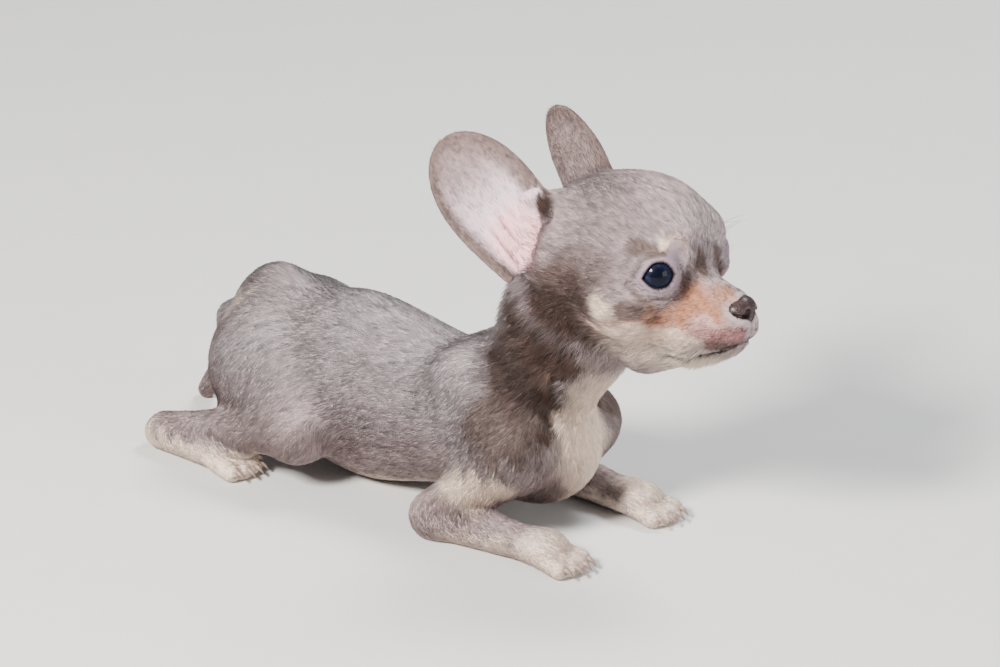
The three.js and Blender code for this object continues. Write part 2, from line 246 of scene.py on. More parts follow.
# Head, in its own frame
EYE_PLACE = np.array([19.2, 15.2, -1.6])
EYE_RADIUS = 6.8
EYE_LID = 1.3
EYE_AXIS = [0.62, 0.78, 0.08]
EYE_OPENING = (4.9, 4.1)
EYE_SLANT = math.radians(10)
HEAD = [
    Ball([-2.5, 0, -0.5], [28, 24.8, 24.2], 10),
    Ball([8, 0, 4], [20, 20.5, 19.5], 8),
    Limb([18, 0, -12], [37.8, 0, -13], 14, 7, 7),
    Limb([22, 0, -7], [39.5, 0, -9.9], 5.3, 4.2, 4),
    Limb([10, 0, -27.4], [39.2, 0, -21.4], 11.2, 5.4, 5),
]
for head_side in SIDES.values():
    HEAD += [
        Ball([9, 15.5 * head_side, -12], [13, 11, 12], 9),
        Ball([20, 10.5 * head_side, 7], [7.5, 8, 7], 6),
        Limb([25, 8 * head_side, -19.5], [41, 3.6 * head_side, -16.4], 7, 4.8, 5),
        Ball([-19, 17 * head_side, 2], [11, 8.5, 15], 8),
        Ball(mirrored(EYE_PLACE, head_side), EYE_RADIUS + EYE_LID, 3),
    ]
NOSE = [Ball([42.6, 0, -11.2], [4.2, 4.8, 4.6], 2)]
NOSE += [Ball([41.4, 3.5 * side, -12], [4, 2.8, 3.6], 1.5) for side in (-1, 1)]
NOSE += [Limb([43.4, 0, -13.4], [43.2, 0, -16.8], 2.2, 1.3, 1.5)]
NOSTRILS = [
    shape
    for side in (-1, 1)
    for shape in (
        Ball([46.4, 2.3 * side, -11.6], [2.6, 1.35, 1.6], 1),
        Limb([45.6, 3.2 * side, -12.4], [42.6, 6.0 * side, -12.2], 0.9, 0.45, 0.8),
    )
]
CONCHA = [Limb([-26.5, 25.5, -6], [-23, 25, 8.5], 5.2, 5.2, 2)]
MOUTH = [(56, -18.5), (46.5, -19.6), (43.8, -21.4), (38.4, -24.8), (30, -27.6), (21, -28.8)]

# An ear is an arc in each section, a cup at its root that opens out to a flat leaf
EAR_ROOT = np.array([-24, 15.5, -3])
EAR_TIP = np.array([-51.5, 31.5, 29.5])
EAR_FACING = [0.5, 0.85, 0.1]
EAR_HALF_WIDTH = 16.0
EAR_CURL = (math.radians(66), math.radians(30))
EAR_THICK = (2.4, 1.3)
EAR_BROADEST = 0.42
EAR_ALONG = EAR_TIP - EAR_ROOT
EAR_LENGTH = np.linalg.norm(EAR_ALONG)
EAR_UP = EAR_ALONG / EAR_LENGTH
EAR_FRONT = unit(np.array(EAR_FACING) - EAR_UP * (EAR_UP @ np.array(EAR_FACING)))
EAR_ACROSS = np.cross(EAR_UP, EAR_FRONT)


def ear_places(face):
    """Share of the ear's length, sweep across it, nearness to its edge, and height off its middle
    sheet towards the cup's inside, for points in the head's frame folded onto the left."""
    q = face - EAR_ROOT
    share = q @ EAR_UP / EAR_LENGTH
    s = np.clip(share, 0, 1)
    wide = EAR_HALF_WIDTH * (0.92 + 0.08 * np.sin(math.pi / 2 * np.minimum(1, s / EAR_BROADEST)))
    radius = wide / (EAR_CURL[0] + (EAR_CURL[1] - EAR_CURL[0]) * np.minimum(1, s * 1.3))
    across = q @ EAR_ACROSS
    depth = radius - q @ EAR_FRONT
    height = radius - np.hypot(across, depth)
    sweep = np.arctan2(across, depth) * radius / wide
    past = np.maximum(share - EAR_BROADEST, 0) / (1 - EAR_BROADEST)
    edge = np.hypot(past, sweep)
    slope = np.hypot(past / (EAR_LENGTH * (1 - EAR_BROADEST)), sweep / wide)
    outside = np.maximum(edge * (edge - 1) / np.maximum(slope, 1e-6), 0)
    before = np.maximum(-share, 0) * EAR_LENGTH
    over = np.hypot(outside, before)
    return dict(share=share, sweep=sweep, edge=edge, height=height, over=over, wide=wide)


# Folds inside the cup of the ear: share and sweep of each end, height and width in millimetres
EAR_FOLDS = [
    ((0.02, -0.2), (0.36, -0.02), 1.6, 1.4),
    ((0.04, 0.3), (0.34, 0.22), 1.9, 1.2),
    ((0.08, 0.64), (0.30, 0.52), 1.2, 1.1),
]


def ear_distance(face):
    place = ear_places(face)
    s = np.clip(place["share"], 0, 1)
    thick = EAR_THICK[0] + (EAR_THICK[1] - EAR_THICK[0]) * np.minimum(1, s * 1.4)
    fold = np.zeros(len(face))
    for (s0, w0), (s1, w1), height, width in EAR_FOLDS:
        t = np.clip((s - s0) / (s1 - s0), 0, 1)
        offset = (place["sweep"] - (w0 + t * (w1 - w0))) * place["wide"]
        ends = np.maximum(np.maximum(s - s1, s0 - s), 0) * EAR_LENGTH
        fold = np.maximum(fold, height * np.exp(-((offset / width) ** 2 + (ends / 3) ** 2)))
    inside = smooth(place["height"], -0.2, 0.4)
    height = np.abs(place["height"] - fold * inside / 2)
    return np.hypot(height, place["over"]) - thick / 2 - fold * inside / 2


def eye_frame(side):
    """Rows across, up and out along the gaze, in the head's frame."""
    out = unit(mirrored(EYE_AXIS, side))
    across = unit(np.cross([0, 0, 1], out))
    return np.array([across, np.cross(out, across), out])


def eye_places(face):
    """Across, up and out from the eye's middle, turned with the slant of the opening."""
    q = (face - EYE_PLACE) @ eye_frame(1).T
    c, s = math.cos(EYE_SLANT), math.sin(EYE_SLANT)
    return q[:, 0] * c - q[:, 1] * s, q[:, 0] * s + q[:, 1] * c, q[:, 2]


def lid_edge(across, up):
    """How far outside the almond of the opening, in its own plane."""
    round_off = np.where(across > 0, 2.0, 3.2)
    reach = np.abs(across) / EYE_OPENING[0]
    rise = np.where(up > 0, 1.04, 0.9) * EYE_OPENING[1]
    bow = 1 - reach**round_off
    slope = round_off * rise * reach ** (round_off - 1) / EYE_OPENING[0]
    return (np.abs(up) - rise * bow) / np.sqrt(1 + slope * slope)


def away_from_line(first, second, line):
    """Distance in a plane to a line of points, and which side of it each place is on."""
    best = np.full(len(first), FAR)
    side = np.zeros(len(first))
    for (a0, b0), (a1, b1) in zip(line, line[1:]):
        da, db = a1 - a0, b1 - b0
        t = np.clip(((first - a0) * da + (second - b0) * db) / (da * da + db * db), 0, 1)
        oa, ob = first - (a0 + t * da), second - (b0 + t * db)
        distance = np.hypot(oa, ob)
        closer = distance < best
        best = np.where(closer, distance, best)
        side = np.where(closer, np.sign(da * ob - db * oa), side)
    return best, side


def groove(distance, depth, width):
    return depth * np.exp(-((distance / width) ** 2))


def line_distance(points, start, end):
    start, end = np.array(start, float), np.array(end, float)
    along = end - start
    t = np.clip((points - start) @ along / (along @ along), 0, 1)
    return np.linalg.norm(points - start - t[:, None] * along, axis=-1)


def fold(points, start, end, deep, width):
    """Depth of a straight fold in the skin."""
    return groove(line_distance(points, start, end), deep, width)


# Folds of the skin, mirrored to both sides: start, end, depth and width. The tragus stands up.
EAR_POCKET = ([-18, 22, 15.5], [-16.6, 23.6, 10.5], 2.8, 1.5)
TRAGUS = ([-24, 20.5, -7], [-20, 20, 6], 1.0, 1.1)
BODY_FOLDS = [
    ([31, 19, 73], [33.5, 16.2, 63.4], 2.2, 2.2),
    ([33.5, 16.2, 63.4], [33.7, 12.2, 52.5], 2.4, 2.0),
    ([33.7, 12.2, 52.5], [30.6, 10.2, 43.4], 1.6, 2.2),
    ([-2, 27, 44], [-10, 29, 20], 0.8, 5.0),
    ([-60, 27, 44], [-52, 29, 18], 1.0, 5.0),
    ([2, 27, 22], [14, 28, 14], 0.9, 2.2),
]


def face_details(face):
    """Height added to the skin of the face: lids, lips and the groove under the nose."""
    f, l, v = face.T
    across, up, out = eye_places(face)
    edge = lid_edge(across, up)
    near_eye = smooth(out, 2.0, 4.5)
    added = near_eye * groove(edge - 0.9, 0.45, 0.8)
    added -= near_eye * groove(edge - 2.6, 0.8, 0.6) * smooth(up, -1, 2)
    added += near_eye * groove(edge - 2.3, 0.35, 1.0) * smooth(-up, 0, 2)
    added -= near_eye * groove(edge - 4.0, 0.8, 0.8) * smooth(-up, 0.5, 2.5)
    mouth, side = away_from_line(f, v, MOUTH)
    front = smooth(f, 24, 29)
    added -= front * groove(mouth, 1.0, 0.42)
    added += front * groove(mouth - 1.5, 0.3, 1.0) * (side < 0)
    cleft = smooth(f, 38, 41) * smooth(-v, 13, 15) * smooth(v, -21.5, -19.5)
    added -= cleft * groove(l, 0.7, 0.5)
    return added


NECK_TO_HEAD, EAR_TO_HEAD = 7, 3.5
HEAD_REACH = 80
SOCKET_BACK = 4.6
CONCHA_ROUNDING = 5
COARSE_EAR_EXTRA = 0.9
NOSE_GAP = 0.5


def skin_field(points, detail=True):
    """Distance to the skin, which lies inside the solids by the coat's depth."""
    head = into_head(points)
    body = joined(BODY, points)
    skull = joined(HEAD, head)
    total = blended(body, skull, NECK_TO_HEAD)
    depth = 0.35 + 0.65 * smooth(skull, 0, 12) * smooth(points[:, 2], 6, 14)
    total = total + depth
    close = np.linalg.norm(head, axis=-1) < HEAD_REACH
    if close.any():
        face = folded(head[close])
        near = total[close]
        if detail:
            near = near - face_details(face)
        across, up, out = eye_places(face)
        opening = blended_cut(lid_edge(across, up), SOCKET_BACK - out)
        near = carved(near, opening, 0.7 if detail else 1.4)
        near = carved(near, joined(CONCHA, face), CONCHA_ROUNDING)
        near = near + fold(face, *EAR_POCKET)
        near = near - fold(face, *TRAGUS)
        ear = ear_distance(face)
        if not detail:
            ear = ear - COARSE_EAR_EXTRA
        total[close] = blended(near, ear, EAR_TO_HEAD)
        total[close] = carved(total[close], joined(NOSE, head[close]) + NOSE_GAP, 0.8)
    if detail:
        paired = folded(points)
        for body_fold in BODY_FOLDS:
            total = total + fold(paired, *body_fold)
    return blended_cut(total, FLOOR_CLEAR - points[:, 2])


def blended_cut(a, b):
    """Where both hold, with a small rounding."""
    return -blended(-a, -b, 0.6)


def nose_field(face):
    """Distance to the nose leather, with its nostrils and the groove between them, in the head's frame."""
    f, l, v = face.T
    total = joined(NOSE, face)
    total = carved(total, joined(NOSTRILS, face), 0.8)
    front_groove = groove(l, 0.45, 0.45) * smooth(f, 44.5, 46)
    return total + front_groove + groove(l, 0.5, 0.4) * smooth(-v, 12.5, 14)


# Meshes from fields
CORNERS = [(0, 0), (0, 1), (1, 0), (1, 1)]


def window(values, axis, low, offsets):
    """The part of a grid that starts at low on one axis and at each offset on the others."""
    cut = [slice(None)] * 3
    cut[axis] = slice(low, values.shape[axis] - 1 + low)
    for other, offset in zip([a for a in range(3) if a != axis], offsets):
        cut[other] = slice(offset, values.shape[other] - 1 + offset)
    return values[tuple(cut)]


def net_of(field, low, high, step):
    """Triangles of a field's surface in a box, one corner in each cell that it crosses."""
    low = np.array(low, float)
    axes = [np.arange(a, b + step, step) for a, b in zip(low, high)]
    grid = np.stack(np.meshgrid(*axes, indexing="ij"), -1)
    values = field(grid.reshape(-1, 3)).reshape(grid.shape[:3])
    cells = tuple(n - 1 for n in values.shape)
    place = np.zeros((*cells, 3))
    count = np.zeros(cells)
    for axis in range(3):
        others = [a for a in range(3) if a != axis]
        for offsets in CORNERS:
            a = window(values, axis, 0, offsets)
            b = window(values, axis, 1, offsets)
            crossed = (a < 0) != (b < 0)
            share = np.where(crossed, a / np.where(crossed, a - b, 1), 0)
            place[..., axis] += share
            for other, offset in zip(others, offsets):
                place[..., other] += crossed * offset
            count += crossed
    used = count > 0
    index = np.full(cells, -1)
    index[used] = np.arange(used.sum())
    where = np.argwhere(used) + place[used] / count[used][:, None]
    quads = []
    for axis in range(3):
        inner = [slice(1, -1)] * 3
        inner[axis] = slice(0, values.shape[axis] - 1)
        after = list(inner)
        after[axis] = slice(1, values.shape[axis])
        a, b = values[tuple(inner)], values[tuple(after)]
        first, second = [(axis + 1) % 3, (axis + 2) % 3]
        ring = []
        for i, j in ((-1, -1), (0, -1), (0, 0), (-1, 0)):
            cut = [slice(0, n) for n in cells]
            cut[first] = slice(1 + i, cells[first] + i)
            cut[second] = slice(1 + j, cells[second] + j)
            ring.append(index[tuple(cut)])
        ring = np.stack(ring, -1)
        quads.append(ring[(a < 0) & (b >= 0)])
        quads.append(ring[(a >= 0) & (b < 0)][:, ::-1])
    quads = np.concatenate(quads)
    return low + where * step, np.concatenate([quads[:, [0, 1, 2]], quads[:, [0, 2, 3]]])


def refined(points, faces, chosen):
    """Halves the edges of the chosen triangles, and splits their neighbours to match."""
    ends = np.sort(faces[:, [[0, 1], [1, 2], [2, 0]]], axis=-1)
    code = ends[..., 0] * len(points) + ends[..., 1]
    split = np.unique(code[chosen])
    middles = (points[split // len(points)] + points[split % len(points)]) / 2
    found = np.minimum(np.searchsorted(split, code), len(split) - 1)
    middle = np.where(split[found] == code, found + len(points), -1)
    cuts = (middle >= 0).sum(1)
    made = [faces[cuts == 0]]
    three, m = faces[cuts == 3], middle[cuts == 3]
    made += [
        np.stack([three[:, 0], m[:, 0], m[:, 2]], 1),
        np.stack([m[:, 0], three[:, 1], m[:, 1]], 1),
        np.stack([m[:, 2], m[:, 1], three[:, 2]], 1),
        m,
    ]
    for turn in range(3):
        face = np.roll(faces, -turn, axis=1)
        m = np.roll(middle, -turn, axis=1)
        one = (cuts == 1) & (m[:, 0] >= 0)
        a, b, c = face[one].T
        made += [np.stack([a, m[one, 0], c], 1), np.stack([m[one, 0], b, c], 1)]
        two = (cuts == 2) & (m[:, 2] < 0)
        a, b, c = face[two].T
        ab, bc = m[two, 0], m[two, 1]
        made += [np.stack([ab, b, bc], 1), np.stack([a, ab, bc], 1), np.stack([a, bc, c], 1)]
    return np.concatenate([points, middles]), np.concatenate(made)


TETRA = np.array([[1, -1, -1], [-1, -1, 1], [-1, 1, -1], [1, 1, 1]], float)


def slope_of(field, points, reach=0.12):
    return sum(corner * field(points + corner * reach)[:, None] for corner in TETRA) / (4 * reach)


def settled(field, points, rounds=3):
    """Moves points onto the field's surface."""
    for _ in range(rounds):
        slope = slope_of(field, points)
        size = np.maximum((slope * slope).sum(1, keepdims=True), 0.15)
        step = field(points)[:, None] * slope / size
        length = np.linalg.norm(step, axis=1, keepdims=True)
        points = points - step * np.minimum(1, 0.8 / np.maximum(length, 1e-9))
    return points


def relaxed(points, faces, share=0.5):
    """Evens out the mesh: each corner moves towards the mean of its neighbours."""
    total = np.zeros_like(points)
    count = np.zeros(len(points))
    for a, b in ((0, 1), (1, 2), (2, 0)):
        for one, other in ((a, b), (b, a)):
            for axis in range(3):
                total[:, axis] += np.bincount(faces[:, one], points[faces[:, other], axis], len(points))
            count += np.bincount(faces[:, one], minlength=len(points))
    return points + share * (total / np.maximum(count, 1)[:, None] - points)


def largest_piece(points, faces):
    """Only the largest connected surface, with its corners numbered afresh."""
    label = np.arange(len(points))
    while True:
        low = label[faces].min(1)
        new = label.copy()
        for corner in range(3):
            np.minimum.at(new, faces[:, corner], low)
        new = new[new]
        if (new == label).all():
            break
        label = new
    names, sizes = np.unique(label[faces[:, 0]], return_counts=True)
    faces = faces[label[faces[:, 0]] == names[sizes.argmax()]]
    used, fresh = np.unique(faces, return_inverse=True)
    return points[used], fresh.reshape(-1, 3)


# Where each marking, each painted shade and each length of hair is
GROUPS = {"trunk": TRUNK, "neck": NECK, **LEGS, "tail": TAIL}


def places_of(points):
    """What the coat needs to know of places on the skin."""
    head = into_head(points)
    face = folded(head)
    gaps = {name: np.minimum(joined(shapes, points), 60) for name, shapes in GROUPS.items()}
    gaps["head"] = np.minimum(joined(HEAD, head), 60)
    ear = ear_places(face)
    gaps["ear"] = np.minimum(ear_distance(face), 60)
    across, up, out = eye_places(face)
    lid = lid_edge(across, up)
    eye = dict(lid=lid, across=across, up=up, out=out)
    return dict(points=points, head=head, face=face, gaps=gaps, ear=ear, **eye)


def wave_noise(points, size, seed, waves=7):
    """A smooth random field between about -1 and 1 with features of the given size."""
    random = np.random.default_rng(seed)
    turns = random.normal(size=(waves, 3)) * 2.2 / size
    starts = random.uniform(0, 2 * math.pi, waves)
    return np.sin(points @ turns.T + starts).sum(1) / math.sqrt(waves)


def patch(points, centre, radii, soft=0.35):
    """1 inside a rounded patch and 0 outside, with a soft rim."""
    size = np.linalg.norm((points - np.array(centre, float)) / np.array(radii, float), axis=1)
    return 1 - smooth(size, 1 - soft, 1 + soft)


# Patches in the head's frame, both sides folded onto the left: centre, radii and strength
# Where painted shade fills the pocket at the root of the ear
POCKET_SHADE = ([-18, 21.8, 13.2], [3.2, 4.5, 4.4])
# The pink at the bottom of the ear: middle and half size in share of its length and sweep across it
EAR_DEPTHS = ([0.1, 0, 0], [0.26, 0.9, 1])
CREAM_FACE = [
    ([23.2, 16.8, 8.8], [2.5, 3.0, 2.2], 0.55),
    ([8.2, 26.3, -12.6], [5.0, 7, 4.7], 1.0),
    ([17.5, 17, -22.3], [14, 11, 5.4], 0.7),
    ([27, 13, -22.5], [8, 7, 4.2], 0.7),
    ([14, 12, -29], [12, 12, 5], 0.6),
]
TAN_FACE = [
    ([32, 9.5, -13], [8.5, 7, 8.5], 1.0),
    ([25, 14, -18], [11, 8, 7], 0.85),
    ([16, 18, -21.5], [13, 9, 6], 0.75),
    ([37, 4, -7], [5, 4.5, 4], 0.75),
    ([24.5, 15.5, 8.8], [3.0, 2.6, 2.6], 0.35),
]
PINK_FACE = [
    ([36, 10, -17], [5.5, 4, 4.2], 0.3),
    ([45, 4.5, -17], [4, 6, 3], 0.4),
]
ROSE_FACE = [
    ([42, 7, -17.8], [6.5, 5, 3.4], 0.8),
    ([36.5, 9.5, -19.5], [6, 5, 3.4], 0.5),
]
# Darker brown hair of the face, cheek and neck, and painted shade above and between the eyes, on the stop
# and in the ear's pocket
DARK_AND_SHADE_FACE = [
    # Painted shade under the brow, between the eyes and beside the bridge
    ([18.5, 18, 6.2], [9, 6, 3], 0.75),
    ([28, 4.4, 1], [4, 3, 5.5], 0.8),
    ([28.5, 10, -4], [3.5, 4, 5.5], 0.65),
    # Darker brown behind the eye
    ([12, 24, 0], [7, 7, 6], 0.3),
    # Painted shade on the stop, and in the ear's pocket
    ([31, 1, 2], [5, 3, 7], 0.25),
    (*POCKET_SHADE, 1.0),
    # Darker brown below the eye, on the cheek, jaw, neck and crown, and along the mouth
    ([17, 21, -12.5], [10, 6, 3.8], 0.75),
    ([-7, 24, -13], [13, 10, 11], 0.8),
    ([-2, 20, -25], [14, 12, 7.5], 0.85),
    ([-13, 19, -20], [13, 12, 12], 0.9),
    ([-14, 20, 14], [8, 8, 6], 0.15),
    ([37, 7.5, -22.8], [8, 5, 1.8], 0.8),
    ([-2, 25, -4], [13, 9, 9], 0.45),
    ([5, 20, 16], [16, 14, 10], 0.12),
]
# Patches on the body, both sides folded onto the left
CREAM_BODY = [
    ([36, 0, 34], [12, 12, 25], 1.0),
    ([46, 0, 55], [13, 14, 17.5], 1.0),
    ([17, 31, 21], [17, 9, 6.6], 1.0),
    ([50, 26, 5], [22, 14, 12], 0.8),
    ([24, 27, 2], [26, 14, 6], 0.6),
    ([-84, 33, 3], [24, 12, 8], 0.95),
    ([-112, 32, 5], [20, 10, 5.5], 0.9),
    ([-99, 14, 53], [5, 7, 5], 0.6),
    ([-108, 3, 34], [6, 7, 10], 0.75),
    ([-40, 0, 0], [60, 20, 9], 0.6),
]
# Dark brown hair of the neck and shoulder, with painted shade along the neck's crease and under the head
DARK_AND_SHADE_BODY = [
    ([31, 18, 67], [6, 6.5, 11], 0.95),
    ([31, 14.5, 50], [6, 6, 13], 1.0),
    ([20, 19, 62], [15, 12, 22], 0.85),
    ([20, 22, 43], [15, 12, 16], 0.78),
    ([38, 15, 70], [6.5, 8, 9], 0.95),
    ([27, 20, 82], [15, 12, 9], 0.9),
    ([42, 16, 80], [15, 12, 8], 0.95),
    ([48, 12, 76], [10, 12, 6], 0.9),
    # Painted shade over the top and back of the rump, and round the root of the tail
    ([-95, 10, 58], [16, 20, 14], 0.3),
    ([-104, 16, 36], [10, 16, 18], 0.25),
    ([-101, 20, 49], [6, 8, 9], 0.55),
    ([-106, 12, 44], [5, 8, 12], 0.4),
]


def marks_of(place):
    """How strong each marking and each painted shade is, and how bare the skin, at each place."""
    points, face, ear = place["points"], place["face"], place["ear"]
    paired = folded(points)
    ragged = points + 1.1 * np.stack([wave_noise(points, 5, 11 + axis) for axis in range(3)], 1)
    ragged_head = face + (ragged - points)
    ragged_body = paired + 1.6 * (ragged - points)
    on_head = 1 - smooth(place["gaps"]["head"], 4, 12)
    on_ear = 1 - smooth(place["gaps"]["ear"], 0.2, 1.2)
    off_ear = 1 - on_ear

    def most(patches, where):
        found = np.zeros(len(points))
        for centre, radii, strength in patches:
            found = np.maximum(found, strength * patch(where, centre, radii))
        return found

    inner = on_ear * smooth(ear["height"], -0.1, 0.5)
    cup = np.minimum(joined(CONCHA, face), place["gaps"]["ear"] - 0.8)
    hollow = (1 - smooth(cup, -0.4, 1.9)) * smooth(ear["height"], 0, 0.6)
    hollow = hollow * (1 - smooth(ear["edge"], 1.0, 1.3))
    hollow = hollow * (place["gaps"]["head"] < 3) * (1 - patch(face, *POCKET_SHADE))
    narrow = np.where(ear["sweep"] < 0, 0.2, 0.0)
    rim = smooth(ear["edge"] + narrow, 0.6, 0.95) * (1 - hollow)
    rim = np.maximum(rim, 0.92 * smooth(ear["share"], 0.36, 0.82))
    inner = np.maximum(inner, hollow)
    up = place["up"]
    low_front = np.maximum(smooth(-up, -1, 2), 2 * smooth(-place["across"], 2, 5))
    ring = (1 - smooth(place["lid"] - 0.9 * low_front, 0.7, 2.1)) * smooth(place["out"], 2.5, 4.5)
    # Painted shade in the creases above and below the lids
    lid_crease_shade = groove(place["lid"] - 2.6 - 1.2 * low_front, 1, 0.65) * smooth(place["out"], 2.5, 4.5)
    cream_face = most(CREAM_FACE, ragged_head) * on_head * off_ear
    cream = np.maximum(cream_face, most(CREAM_BODY, ragged_body) * (1 - on_head))
    chin = smooth(-face[:, 2], 23, 29) * smooth(face[:, 0], 12, 30)
    cream = np.maximum(cream, 0.95 * chin * on_head * off_ear)
    tan = most(TAN_FACE, ragged_head) * on_head * off_ear
    pink = most(PINK_FACE, ragged_head) * on_head * off_ear
    pink = np.maximum(pink, inner * (1 - rim))
    lavender = 0.85 * ring * on_head
    warm = np.maximum(0.7 * (1 - smooth(points[:, 2], 14, 50)) * (1 - on_head), 0.5 * on_head)
    warm = np.maximum(warm, 0.8 * on_ear)
    dark_and_shade_face = most(DARK_AND_SHADE_FACE, ragged_head) * on_head
    dark = np.maximum(dark_and_shade_face, most(DARK_AND_SHADE_BODY, ragged_body) * (1 - on_head))
    dark = np.maximum(dark, 0.6 * lid_crease_shade * on_head)
    ear_dark = on_ear * (0.3 + 0.35 * smooth(ear["edge"], 0.7, 1.0)) * np.maximum(rim, 1 - inner)
    mouth, _ = away_from_line(face[:, 0], face[:, 2], MOUTH)
    lip = (1 - smooth(mouth, 0.15, 0.75)) * smooth(face[:, 0], 16, 28) * on_head * off_ear
    edge = (1 - smooth(place["lid"], 0.25, 0.8)) * smooth(place["out"], 3.5, 4.8) * on_head
    bare = np.maximum(np.maximum(inner * (1 - rim), ring), 0.8 * most(PINK_FACE, face) * on_head)
    deep = patch(np.stack([ear["share"], ear["sweep"], ear["share"] * 0], 1), *EAR_DEPTHS)
    rose = most(ROSE_FACE, ragged_head) * on_head * off_ear
    return dict(
        warm=warm,
        # dark holds the dark brown hair and all the painted shade
        dark=np.maximum(dark * (1 - on_ear * inner), ear_dark),
        tan=tan,
        cream=cream * (1 - inner),
        pink=pink,
        lavender=lavender,
        blush=inner * deep * (1 - rim),
        rose=rose,
        # The dark line of the lips and lid edges, and painted shade in the ear's pocket
        line=np.maximum(np.maximum(lip, edge), 0.6 * patch(face, *POCKET_SHADE)),
        bare=np.clip(bare, 0, 1),
    )


# Materials
class Value:
    """A socket that takes part in arithmetic. Each operator adds its Math node."""

    def __init__(self, look, socket):
        self.look = look
        self.socket = socket

    def maths(self, operation, *values):
        return self.look.node("Math", dict(operation=operation), dict(enumerate(values)))

    def __add__(self, other):
        return self.maths("ADD", self, other)

    def __sub__(self, other):
        return self.maths("SUBTRACT", self, other)

    def __rsub__(self, other):
        return self.maths("SUBTRACT", other, self)

    def __mul__(self, other):
        return self.maths("MULTIPLY", self, other)

    __radd__ = __add__
    __rmul__ = __mul__


class Look:
    """A material and its nodes."""

    def __init__(self, name, **shader):
        self.material = bpy.data.materials.new(name)
        self.material.use_nodes = True
        self.tree = self.material.node_tree
        self.tree.nodes.clear()
        self.shader = self.node("BsdfPrincipled", {}, shader, raw=True)
        output = self.node("OutputMaterial", {}, {}, raw=True)
        self.tree.links.new(self.shader.outputs[0], output.inputs["Surface"])

    def node(self, kind, settings, inputs, output=0, raw=False):
        """Adds a node, sets it, and then feeds its sockets."""
        node = self.tree.nodes.new("ShaderNode" + kind)
        for name, value in settings.items():
            setattr(node, name, value)
        for name, value in inputs.items():
            socket = node.inputs[name.replace("_", " ") if isinstance(name, str) else name]
            if isinstance(value, Value):
                self.tree.links.new(value.socket, socket)
            else:
                socket.default_value = value
        return node if raw else Value(self, node.outputs[output])

    def feed(self, **inputs):
        for name, value in inputs.items():
            self.tree.links.new(value.socket, self.shader.inputs[name.replace("_", " ")])

    def mark(self, name):
        return self.node("Attribute", dict(attribute_name=name), {}, output=2)

    def mix(self, share, first, second, blend="MIX"):
        settings = dict(data_type="RGBA", blend_type=blend)
        return self.node("Mix", settings, {0: share, 6: first, 7: second}, output=2)

    def place(self):
        return self.node("TexCoord", {}, {}, output="Object")

    def greater(self, first, second):
        return self.node("Math", dict(operation="MAXIMUM"), {0: first, 1: second})

    def shaded(self, shown, shade):
        """A colour made darker or lighter by a number."""
        grey = self.node("CombineColor", {}, {0: shade, 1: shade, 2: shade})
        return self.mix(1.0, shown, grey, "MULTIPLY")

    def stretched(self, vector, scale):
        return self.node("Mapping", {}, dict(Vector=vector, Scale=scale))

    def noise(self, vector, scale, detail=3.0, rough=0.5):
        sockets = dict(Vector=vector, Scale=scale, Detail=detail, Roughness=rough)
        return self.node("TexNoise", {}, sockets)

    def between(self, value, low, high, to_low=0.0, to_high=1.0):
        inputs = {0: value, 1: low, 2: high, 3: to_low, 4: to_high}
        return self.node("MapRange", dict(interpolation_type="SMOOTHSTEP"), inputs)

    def bump(self, height, strength, distance):
        return self.node("Bump", {}, dict(Height=height, Strength=strength, Distance=distance))


def colour(values):
    return (*values, 1.0)


# Each mark and its tint, from the lowest layer up
MARK_TINTS = [("dark", "umber"), ("tan", "tan"), ("cream", "cream"), ("pink", "pink")]
MARK_TINTS += [("lavender", "lavender"), ("blush", "blush"), ("rose", "rose"), ("line", "lip_line")]


def coat_colour(look, tints, vector):
    """The markings and the painted shade, the same on skin and coat."""
    broad = look.noise(vector, 40.0, 2.0)
    warm = look.mark("warm") * 0.8 + broad * 0.4 - 0.1
    shown = look.mix(warm, colour(tints.lilac), colour(tints.lilac_warm))
    for mark, tint_name in MARK_TINTS:
        shown = look.mix(look.mark(mark), shown, colour(getattr(tints, tint_name)))
    return shown


def skin_look(tints):
    look = Look("skin_and_undercoat", Roughness=0.62, IOR=1.4)
    vector = look.place()
    streaks = look.noise(look.stretched(vector, (0.35, 1, 1)), 900.0, 4.0, 0.6)
    pores = look.noise(vector, 1500.0, 3.0, 0.6)
    bare = look.mark("bare")
    covered = 1 - look.greater(bare, look.mark("cream") * 0.6)
    shade = look.between(streaks, 0.3, 0.7, -0.38, 0.0) * covered + 1
    shown = look.shaded(coat_colour(look, tints, vector), shade)
    height = streaks * (1 - bare) + pores * bare * 0.5
    relief = look.bump(height, 0.5, 0.0004)
    look.feed(Base_Color=shown, Normal=relief, Roughness=0.75 - bare * 0.18)
    return look.material


def coat_look(tints):
    look = Look("short_coat", Roughness=0.6, IOR=1.35)
    vector = look.node("Attribute", dict(attribute_name="root"), {}, output=1)
    tone = look.mark("tone")
    along = look.mark("along")
    shade = (tone * 0.5 + along * 0.5 - 0.43) * (1 - look.mark("cream") * 0.55) + 1
    shown = look.shaded(coat_colour(look, tints, vector), shade)
    look.feed(Base_Color=shown, Roughness=0.6 + tone * 0.08)
    return look.material


def eye_look(tints):
    cornea = dict(Coat_Weight=0.6, Coat_Roughness=0.02, Coat_IOR=1.27)
    look = Look("dark_blue_eye", Roughness=0.4, IOR=1.1, **cornea)
    out = look.mark("gaze")
    rays = look.noise(look.place(), 1400.0, 3.0)
    iris = look.mix(look.between(rays, 0.3, 0.7), colour(tints.iris_deep), colour(tints.iris))
    iris = look.mix(look.between(out, 0.86, 0.955), iris, colour(tints.pupil))
    shown = look.mix(look.between(out, 0.72, 0.80), colour(tints.eye_rim), iris)
    look.feed(Base_Color=shown)
    return look.material


